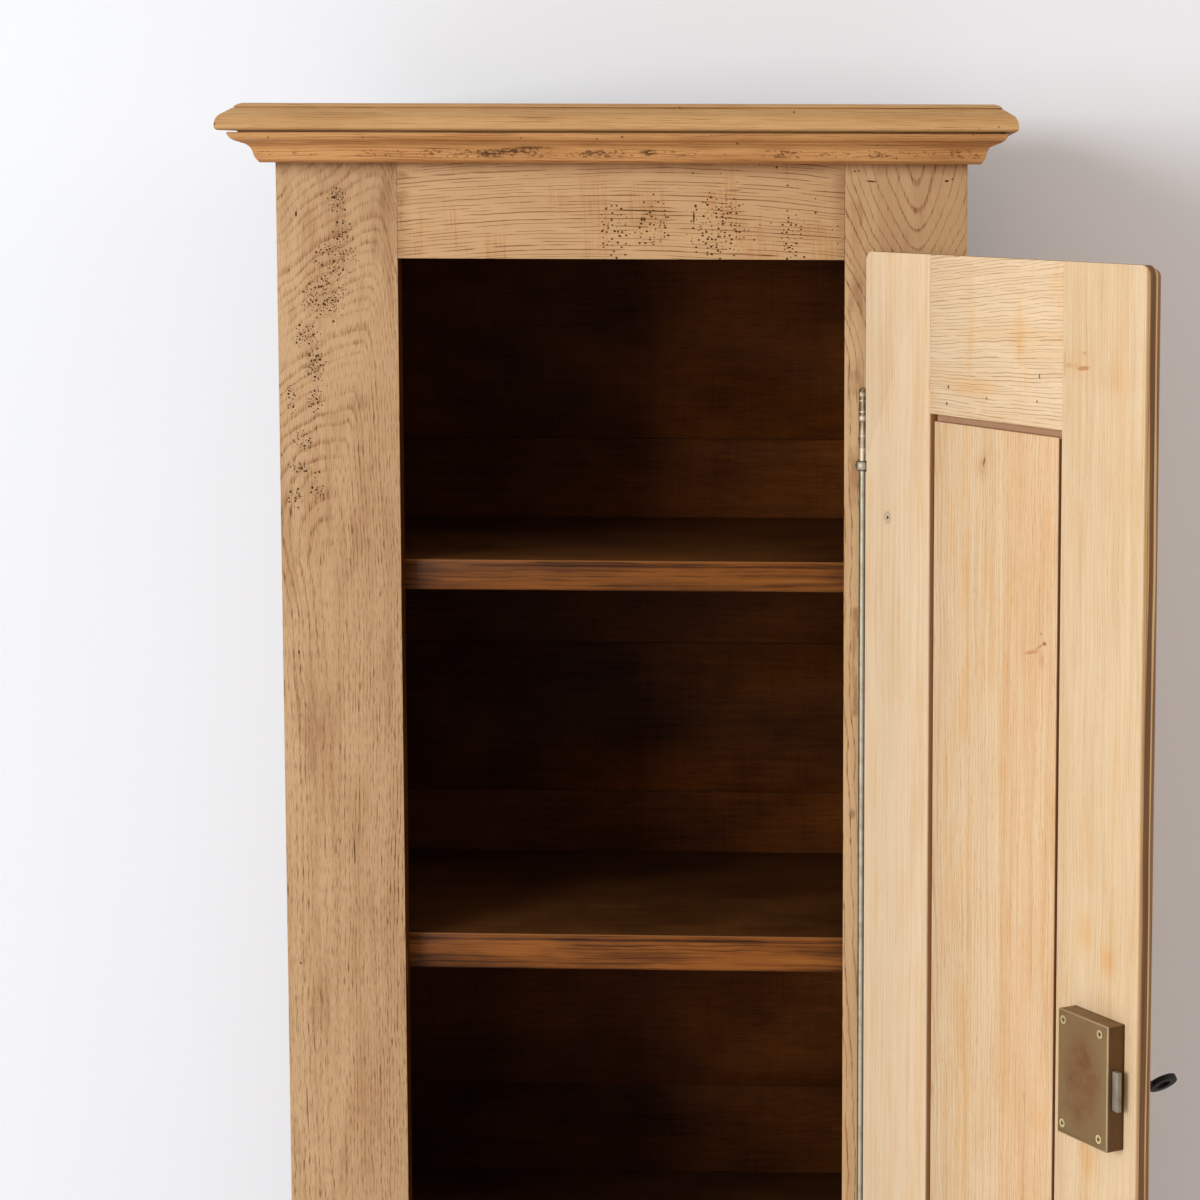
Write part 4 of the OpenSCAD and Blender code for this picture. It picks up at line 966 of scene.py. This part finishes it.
def hinge_stile_marks(finish, x, z, pale):
    """Grime round the upper leaf screw and a warm patch at the edge of the rail's joint."""
    ring = blot(finish, x, z, (LEAF_SCREW_X, 1.2057), (0.0062, 0.0062), 0.45)
    joint = blot(finish, x, z, (-0.1190, 1.3420), (0.0020, 0.0060), 0.5)
    pale = finish.tint(pale, ring * 0.65, (0.62, 0.50, 0.39))
    return finish.tint(pale, joint * 0.7, (0.90, 0.62, 0.38))


def lock_stile_marks(finish, x, z, pale):
    """A small brown knot scar with fainter streaks, and orange wood above and below the lock."""
    wisp = finish.clouds(x, z, 3.0, 160.0, 40.0, 2.0, 0.6)
    scar = blot(finish, x, z + (x + 0.3745) * 0.10, (-0.3745, 1.3722), (0.0088, 0.0019), 0.5)
    faint = patches(finish, x, z, LOCK_STILE_FAINT, 0.7)
    seam = blot(finish, x, z, (-0.3455, 1.3760), (0.0012, 0.0140), 0.5)
    pale = finish.tint(pale, patches(finish, x, z, LOCK_STILE_WARM, 0.9) * 0.32, (0.97, 0.78, 0.60))
    orange = patches(finish, x, z, LOCK_STILE_ORANGE, 0.9)
    pale = finish.tint(pale, orange * (0.45 + wisp * 0.5), (0.98, 0.78, 0.54))
    pale = finish.tint(pale, join(faint * wisp.step(0.35, 0.60) * 0.6, seam * 0.6), (0.80, 0.58, 0.40))
    return finish.tint(pale, scar * 0.85, (0.72, 0.46, 0.31))


def top_rail_stains(finish, x, z, pale):
    """Orange stains in upright streaks and a few small worm holes."""
    wisp = finish.clouds(x, z, 6.0, 140.0, 16.0, 2.0, 0.6)
    upright = patches(finish, x, z, TOP_RAIL_STREAKS, 0.9) * wisp.step(0.30, 0.60)
    low = patches(finish, x, z, TOP_RAIL_LOW, 0.9) * 0.8
    pale = finish.tint(pale, join(upright, low) * 0.55, (1.0, 0.80, 0.56))
    return finish.blend(patches(finish, x, z, TOP_RAIL_HOLES, 0.4), pale, (0.13, 0.062, 0.026))


def panel_marks(finish, x, z, pale):
    """Two boards side by side, the one at the lock pinker, with a ringed knot and a few pin knots."""
    lock_side = x.below(-0.2475, -0.2460)
    hinge_side = x.step(-0.1480, -0.1330)
    warm = finish.clouds(z, x, 5.0, 9.0, 40.0, 3.0, 0.6)
    pale = finish.tint(pale, lock_side * (0.50 + 0.5 * warm.step(0.35, 0.65)), (0.97, 0.88, 0.80))
    pale = finish.tint(pale, hinge_side * 0.6, (0.98, 0.97, 1.05))
    golden_band = x.within(-0.1900, -0.1500, 0.012) * warm.step(0.45, 0.60)
    pale = finish.tint(pale, golden_band * 0.5, (1.0, 0.86, 0.66))
    pale = finish.tint(pale, x.within(-0.2470, -0.2465, 0.0004) * 0.35, (0.85, 0.68, 0.50))
    eye = (-0.2085, 1.2688)
    pupil = blot(finish, x, z, eye, (0.0036, 0.0034), 0.4)
    ringed = blot(finish, x, z, eye, (0.0052, 0.0050), 0.35) * (1.0 - pupil)
    halo = blot(finish, x, z, (-0.2095, 1.2710), (0.0090, 0.0120), 0.9)
    core = blot(finish, x + (z - 1.2752) * 0.25, z, (-0.2129, 1.2752), (0.0016, 0.0040), 0.5)
    pins = join(blot(finish, x, z, (-0.3160, 1.1158), (0.0028, 0.0016), 0.6),
                blot(finish, x, z, (-0.3102, 1.1243), (0.0010, 0.0010), 0.5))
    wisps = join(blot(finish, x, z + (x + 0.295) * 0.22, (-0.2950, 1.1052), (0.0110, 0.0016), 0.6),
                 blot(finish, x, z + (x + 0.306) * 0.5, (-0.3080, 1.1110), (0.0060, 0.0014), 0.6),
                 blot(finish, x, z, (-0.3120, 1.0990), (0.0030, 0.0060), 0.8) * 0.6)
    pale = finish.tint(pale, join(halo * 0.35, ringed * 0.8, wisps * 0.8), (0.76, 0.56, 0.40))
    return finish.tint(pale, join(core, pins) * 0.95, (0.40, 0.26, 0.16))


def door_rail_rings(along, across):
    """Rings as level lines that fan out away from the hinge."""
    return across - 1.0 + along * (across - 1.32) * 0.66, 0.0


HINGE_STILE_OAK = dict(
    deep=0.03, centre=-0.35, ring=0.0030, waver=0.004, line=0.4, bands=0.30, pores=0.16, specks=0.10,
    mottle=0.18, streaks=0.18, fray=0.5, tone=(1.02, 1.02, 1.04))
LOCK_STILE_OAK = dict(
    deep=0.03, centre=-0.20, ring=0.0038, waver=0.010, line=0.4, bands=0.32, pores=0.20, specks=0.16,
    mottle=0.26, streaks=0.24, fray=0.5, tone=(1.01, 0.985, 0.94))
DOOR_TOP_RAIL_OAK = dict(
    deep=0.005, shape=door_rail_rings, ring=0.0029, waver=0.0060, line=0.20, bands=0.72, pores=0.78,
    fine=(22.0, 300.0), coarse=(46.0, 1200.0), specks=0.45, strewn=0.08, cover=0.36, mottle=0.36,
    streaks=0.20, fray=0.10, tone=(1.05, 1.04, 1.03), pore=(0.37, 0.190, 0.074),
    walls=((0.42, 0.225, 0.110), (0.38, 0.195, 0.095)))
DOOR_BOTTOM_RAIL_OAK = dict(
    deep=0.005, centre=-1.0, ring=0.0033, waver=0.0050, line=0.17, bands=0.42, pores=0.70,
    fine=(46.0, 210.0), coarse=(90.0, 1200.0), specks=0.35, strewn=0.05, cover=0.45, mottle=0.30,
    streaks=0.15, fray=0.35)
PANEL_OAK = dict(
    deep=0.02, centre=-0.120, ring=0.0042, waver=0.014, line=0.30, bands=0.48, pores=0.40, specks=0.22,
    mottle=0.30, streaks=0.26, fray=0.4, rise=-0.03, tone=(1.03, 1.00, 0.97), threads=0.8)


class CABINET_OT_door(bpy.types.Operator):
    """Finishes the door's stiles, rails and panel"""
    bl_idname = "cabinet.door"
    bl_label = "Door"

    def execute(self, context):
        wear = context.scene.cabinet_oak.wear
        for node, grain, seed, marks, values, width, segments in (
            ("door_hinge_stile", "Z", 70.0, hinge_stile_marks, HINGE_STILE_OAK, wear, 2),
            ("door_lock_stile", "Z", 72.0, lock_stile_marks, LOCK_STILE_OAK, 0.0014, 3),
            ("door_top_rail", "X", 74.0, top_rail_stains, DOOR_TOP_RAIL_OAK, wear, 2),
            ("door_bottom_rail", "X", 76.0, None, DOOR_BOTTOM_RAIL_OAK, wear, 2),
            ("door_panel", "Z", 78.0, panel_marks, PANEL_OAK, 0.0006, 2),
        ):
            material = door_oak("oak_" + node, grain, seed, marks, node == "door_panel", **values)
            eased(node, material, width, segments)
        return {"FINISHED"}


# Metal

def steel(name, tone=(1.0, 1.0, 1.0), metallic=0.8, grime_and_shade=None):
    """Worn steel, browned by handling and age, darkened by dirt and painted shade where its given function
    says.
    """
    finish = Finish(name)
    place = finish.place()
    streak = finish.noise(finish.mapped(place, scale=(900.0, 900.0, 60.0)), 1.0, 3.0, 0.6)
    haze = finish.noise(place, 90.0, 3.0, 0.6)
    base = scaled(metal_settings().steel, tone)
    colour = finish.blend(haze.step(0.42, 0.70) * 0.5, base, scaled(base, (0.62, 0.50, 0.38)))
    colour = finish.tint(colour, streak.step(0.5, 0.8) * 0.3, (0.62, 0.56, 0.50))
    if grime_and_shade is not None:
        # Dirt and painted shade, as the given function says
        colour = finish.tint(colour, grime_and_shade(finish, place, haze), (0.16, 0.115, 0.075))
    return finish.surface(colour, 0.40 + haze * 0.2, finish.bump(streak, 0.00005, 0.4), metallic)


def rod_painted_shade(finish, place, haze):
    """Painted shade: dark lines down both sides of the rod and round the rims of its balls, where their round
    faces turn from the light.
    """
    x, _, z = finish.parts(place)
    side = abs(x - HINGE_X)
    from_ball = abs(abs(z - HINGE_MIDDLE) - BALL_FROM_MIDDLE)
    ball = from_ball.below(0.0052, 0.0062)
    # Painted shade down the rod's sides and round the balls' rims
    line = side.step(0.0017, 0.0031) * (1.0 - ball)
    rim = join(side.step(0.0046, 0.0066), from_ball.step(0.0030, 0.0046))
    return join(line, rim * ball) * (0.70 + haze * 0.4).at_most(1.0)


def finial_grime_and_shade(finish, place, haze):
    """Grime in the necks of the turned finials, with the beads rubbed bright, and painted shade down both sides
    of each finial.
    """
    x, y, _ = finish.parts(place)
    off = x - HINGE_X
    far = y - HINGE_Y
    neck = (off * off + far * far).root().below(0.0029, 0.0038)
    # Painted shade down both sides of the finial
    sides = abs(off).step(0.0024, 0.0042)
    return join(neck * (0.20 + haze * 0.6), sides * 0.6, haze.step(0.54, 0.64) * 0.4).at_most(1.0)


def screw_grime(finish, place, haze):
    """A dark middle within a pale worn ring on each leaf screw."""
    x, _, z = door_space(finish)
    across = x - LEAF_SCREW_X
    down = abs(z - DOOR_HEIGHT / 2) - LEAF_SCREW_FROM_MIDDLE
    radius = (across * across + down * down).root()
    return join(radius.below(0.0016, 0.0024), radius.step(0.0036, 0.0041) * 0.5)


def iron(name):
    """Black iron with a little rust."""
    finish = Finish(name)
    place = finish.place()
    grit = finish.noise(place, 700.0, 4.0, 0.65)
    rust = finish.noise(place, 120.0, 3.0, 0.6)
    colour = finish.blend(rust.step(0.45, 0.70) * 0.6, tuple(metal_settings().iron), (0.036, 0.017, 0.009))
    return finish.surface(colour, 0.46 + grit * 0.2, finish.bump(grit, 0.00008, 0.5), 0.12, 0.22)


def brass(name, tone=1.0):
    """Brass that has dulled."""
    finish = Finish(name)
    colour, haze = dull_brass(finish, tone)
    return finish.surface(colour, 0.36 + haze * 0.2, finish.bump(haze, 0.00004, 0.3), 0.9)


def dull_brass(finish, tone=1.0):
    """Colour of brass with darker clouds, and the clouds."""
    haze = finish.noise(finish.place(), 160.0, 3.0, 0.6)
    base = scaled(metal_settings().brass, (tone, tone, tone))
    return finish.blend(haze.step(0.4, 0.75) * 0.7, base, (0.20, 0.13, 0.055)), haze


def screw_brass(name):
    """Brass of the lock's screws, each with a painted highlight on its rim round a dark slotted middle."""
    finish = Finish(name)
    colour, haze = dull_brass(finish)
    x, _, z = door_space(finish)
    across = abs(x - LOCK_SCREWS_X[0]).at_most(abs(x - LOCK_SCREWS_X[1]))
    down = abs(z - DOOR_HEIGHT / 2) - LOCK_SCREW_FROM_MIDDLE
    radius = (across * across + down * down).root()
    # Painted highlight on the rims, strongest on the lower screw and on the screw nearer the free edge
    bright = z.step(0.70, 0.76, 1.0, 0.55) * x.step(-0.42, -0.40, 1.0, 0.75)
    colour = finish.blend(radius.within(0.0024, 0.0040, 0.0005) * bright, colour, (0.74, 0.58, 0.30))
    slots = (across.below(0.0004, 0.0009) + abs(down).below(0.0004, 0.0009)).at_most(1.0)
    dark = join(slots * 0.9, radius.below(0.0008, 0.0016)) * radius.below(0.0022, 0.0028)
    colour = finish.blend(dark, colour, (0.085, 0.060, 0.018))
    return finish.surface(colour, 0.42 + haze * 0.2, finish.bump(haze, 0.00004, 0.3), 0.35)


def old_brass(name):
    """Brushed, darkened brass with a reddish middle and paler worn edges, and painted shade on its flanks and
    at its foot against the door.
    """
    finish = Finish(name)
    x, y, z = door_space(finish)
    spot = finish.vector(x, y, z)
    brushed = finish.noise(finish.mapped(spot, scale=(90.0, 900.0, 2600.0)), 1.0, 2.0, 0.6)
    cloud = finish.noise(spot, 45.0, 3.0, 0.6)
    fleck = finish.noise(spot, 260.0, 3.0, 0.6)
    centre = blot(finish, x, z, LOCK_MIDDLE, (0.023, 0.040), 0.6)
    rubbed = centre * (0.50 + cloud.step(0.35, 0.65) * 0.45 + (fleck - 0.5) * 1.0)
    colour = finish.blend(rubbed.at_least(0.0), tuple(metal_settings().old_brass), (0.245, 0.100, 0.034))
    colour = finish.tint(colour, brushed.step(0.35, 0.7) * 0.3, (0.76, 0.74, 0.70))
    colour = finish.tint(colour, cloud.step(0.48, 0.75) * 0.35, (0.66, 0.60, 0.52))
    beside = abs(x - LOCK_MIDDLE[0])
    above = abs(z - LOCK_MIDDLE[1])
    # Painted shade on the case's flanks, less on its top and bottom ends
    flank = y.below(0.0171, 0.0183) * above.step(0.0565, 0.0572, 0.95, 0.35)
    colour = finish.tint(colour, flank, (0.44, 0.35, 0.26))
    # Painted shade at the foot of the case, against the door
    colour = finish.tint(colour, y.below(0.0010, 0.0045) * 0.6, (0.45, 0.40, 0.34))
    arris = join(beside.step(0.0371, 0.0377), above.step(0.0563, 0.0570)) * y.step(0.0171, 0.0180)
    colour = finish.blend(arris * (0.40 + fleck * 0.6).at_most(1.0), colour, (0.58, 0.45, 0.27))
    ends = y.step(0.0175, 0.0183) * above.step(0.040, 0.058)
    colour = finish.tint(colour, ends * 0.25, (0.80, 0.78, 0.74))
    return finish.surface(colour, 0.44 + cloud * 0.12, finish.bump(brushed, 0.00004, 0.4), 0.6)


class CABINET_OT_hinge(bpy.types.Operator):
    """Finishes the long rod, its finials and the leaf screws"""
    bl_idname = "cabinet.hinge"
    bl_label = "Hinge"

    def execute(self, context):
        eased("hinge_rod", steel("steel_rod", (0.95, 0.95, 0.92), 0.55, rod_painted_shade), 0.0003, 1)
        for end in ("top", "bottom"):
            material = steel("steel_finial_" + end, (1.30, 1.20, 1.08), 0.50, finial_grime_and_shade)
            eased("hinge_finial_" + end, material, 0.0002, 1)
        eased("leaf_screws", steel("steel_screws", (1.45, 1.45, 1.45), 0.25, screw_grime), 0.0002, 1)
        return {"FINISHED"}


class CABINET_OT_lock(bpy.types.Operator):
    """Finishes the box lock, its bolt, screws and escutcheon"""
    bl_idname = "cabinet.lock"
    bl_label = "Lock"

    def execute(self, context):
        eased("lock_case", old_brass("brass_lock_case"), 0.0007, 3)
        eased("lock_sole", old_brass("brass_lock_sole"), 0.0002, 1)
        eased("lock_bolt", steel("steel_bolt", (0.60, 0.555, 0.54), 0.35), 0.0004, 2)
        eased("bolt_spring", steel("steel_spring"), 0.0001, 1)
        eased("lock_screws", screw_brass("brass_lock_screws"), 0.0002, 1)
        eased("escutcheon", brass("brass_escutcheon", 0.7), 0.0003, 2)
        eased("escutcheon_nails", brass("brass_escutcheon_nails"), 0.0002, 2)
        return {"FINISHED"}


class CABINET_OT_key(bpy.types.Operator):
    """Finishes the key"""
    bl_idname = "cabinet.key"
    bl_label = "Key"

    def execute(self, context):
        eased("key", iron("iron_key"), 0.0006, 3)
        return {"FINISHED"}


# Stage

CAMERA_PLACE = (0.3378, -3.1497, 1.7953)
CAMERA_PAN = 0.0375
CAMERA_TILT = -0.1045
CAMERA_ROLL = -0.0029
WINDOW_TINT = (0.86, 0.93, 1.0)
FILL_TINT = (1.0, 0.82, 0.68)


class CABINET_OT_stage(bpy.types.Operator):
    """Sets up the camera, the floor and wall, and the light"""
    bl_idname = "cabinet.stage"
    bl_label = "Stage"

    def execute(self, context):
        scene = context.scene
        values = scene.cabinet_stage
        self.camera(scene)
        self.room(scene, self.plaster(tuple(values.wall)))
        self.lamp(scene, "window", (-4.6, -5.4, 2.6), (0.0, 0.0, 1.15), (3.6, 3.0),
                  values.window_watts, WINDOW_TINT)
        self.lamp(scene, "fill", (3.1, -0.7, 2.7), (0.8, 0.43, 2.0), (1.4, 1.4),
                  values.fill_watts, FILL_TINT)
        world = bpy.data.worlds.new("room_light")
        scene.world = world
        world.use_nodes = True
        background = world.node_tree.nodes["Background"]
        background.inputs["Color"].default_value = (1.0, 0.95, 0.90, 1.0)
        background.inputs["Strength"].default_value = values.room
        scene.view_settings.view_transform = "Standard"
        return {"FINISHED"}

    def camera(self, scene):
        data = bpy.data.cameras.new("camera")
        data.sensor_fit = "HORIZONTAL"
        data.sensor_width = 36.0
        data.lens = 94.908
        data.shift_x = -0.2
        data.shift_y = -0.09
        data.clip_end = 50.0
        camera = bpy.data.objects.new("camera", data)
        aim = (Matrix.Rotation(CAMERA_PAN, 4, "Z") @ Matrix.Rotation(CAMERA_TILT, 4, "X")
               @ Matrix.Rotation(CAMERA_ROLL, 4, "Y"))
        level = Matrix.Rotation(math.radians(90), 4, "X")
        camera.matrix_world = Matrix.Translation(CAMERA_PLACE) @ aim @ level
        scene.collection.objects.link(camera)
        scene.camera = camera

    def plaster(self, wall):
        """Pale plaster that is clear from behind, so that the object shows from every side."""
        finish = Finish("pale_plaster")
        place = finish.place()
        grain = finish.noise(place, 160.0, 4.0, 0.6)
        cloud = finish.noise(place, 3.0, 2.0, 0.5)
        tone = finish.tint(wall, cloud * 0.08, (0.9, 0.9, 0.9))
        relief = finish.bump(grain, 0.0004, 0.15)
        shader = finish.add("ShaderNodeBsdfPrincipled", None,
                            {"Base Color": tone, "Roughness": 0.9, "Normal": relief})
        clear = finish.add("ShaderNodeBsdfTransparent")
        behind = finish.add("ShaderNodeNewGeometry", out="Backfacing")
        return finish.finished(finish.add("ShaderNodeMixShader", None, {0: behind, 1: shader, 2: clear}))

    def room(self, scene, material):
        """A floor with a wall behind it and a rounded corner between them."""
        data = bmesh.new()
        bmesh.ops.create_grid(data, x_segments=1, y_segments=1, size=3.0)
        bmesh.ops.translate(data, verts=data.verts, vec=(0.0, -2.45, -0.0005))
        rear = [e for e in data.edges if all(v.co.y > 0.5 for v in e.verts)]
        grown = bmesh.ops.extrude_edge_only(data, edges=rear)
        raised = [v for v in grown["geom"] if isinstance(v, bmesh.types.BMVert)]
        bmesh.ops.translate(data, verts=raised, vec=(0.0, 0.0, 3.2))
        corner = [e for e in data.edges if all(v.co.y > 0.5 and v.co.z < 0.1 for v in e.verts)]
        bmesh.ops.bevel(data, geom=corner, offset=0.05, offset_type="OFFSET", segments=8, profile=0.5,
                        affect="EDGES", clamp_overlap=True, material=-1)
        bmesh.ops.recalc_face_normals(data, faces=data.faces)
        largest = max(data.faces, key=lambda f: f.calc_area()).normal
        if largest.z < -0.5 or largest.y > 0.5:
            bmesh.ops.reverse_faces(data, faces=data.faces)
        mesh = bpy.data.meshes.new("room")
        data.to_mesh(mesh)
        data.free()
        for polygon in mesh.polygons:
            polygon.use_smooth = True
        mesh.materials.append(material)
        room = bpy.data.objects.new("room", mesh)
        scene.collection.objects.link(room)

    def lamp(self, scene, name, place, target, size, watts, colour):
        data = bpy.data.lights.new(name, "AREA")
        data.shape = "RECTANGLE"
        data.size, data.size_y = size
        data.energy = watts
        data.color = colour
        lamp = bpy.data.objects.new(name, data)
        lamp.location = place
        lamp.rotation_euler = (Vector(target) - Vector(place)).to_track_quat("-Z", "Y").to_euler()
        scene.collection.objects.link(lamp)


class CABINET_PT_panel(bpy.types.Panel):
    """Lists the cabinet's steps and values"""
    bl_idname = "CABINET_PT_panel"
    bl_label = "Linen cabinet"
    bl_space_type = "VIEW_3D"
    bl_region_type = "UI"
    bl_category = "Linen cabinet"

    def draw(self, context):
        for group in (context.scene.cabinet_oak, context.scene.cabinet_metal, context.scene.cabinet_stage):
            box = self.layout.box()
            for name in group.__annotations__:
                box.prop(group, name)
        for step in STEPS:
            self.layout.operator(step.bl_idname)


STEPS = (CABINET_OT_stage, CABINET_OT_face_frame, CABINET_OT_cornice, CABINET_OT_sides, CABINET_OT_back,
         CABINET_OT_shelves, CABINET_OT_door, CABINET_OT_hinge, CABINET_OT_lock, CABINET_OT_key)
CLASSES = (CabinetOakSettings, CabinetMetalSettings, CabinetStageSettings, *STEPS, CABINET_PT_panel)


def register():
    for item in CLASSES:
        bpy.utils.register_class(item)
    bpy.types.Scene.cabinet_oak = PointerProperty(type=CabinetOakSettings)
    bpy.types.Scene.cabinet_metal = PointerProperty(type=CabinetMetalSettings)
    bpy.types.Scene.cabinet_stage = PointerProperty(type=CabinetStageSettings)


def unregister():
    del bpy.types.Scene.cabinet_oak
    del bpy.types.Scene.cabinet_metal
    del bpy.types.Scene.cabinet_stage
    for item in reversed(CLASSES):
        bpy.utils.unregister_class(item)


def main():
    register()
    bpy.ops.cabinet.stage()
    bpy.ops.cabinet.face_frame()
    bpy.ops.cabinet.cornice()
    bpy.ops.cabinet.sides()
    bpy.ops.cabinet.back()
    bpy.ops.cabinet.shelves()
    bpy.ops.cabinet.door()
    bpy.ops.cabinet.hinge()
    bpy.ops.cabinet.lock()
    bpy.ops.cabinet.key()


if __name__ == "__main__":
    main()
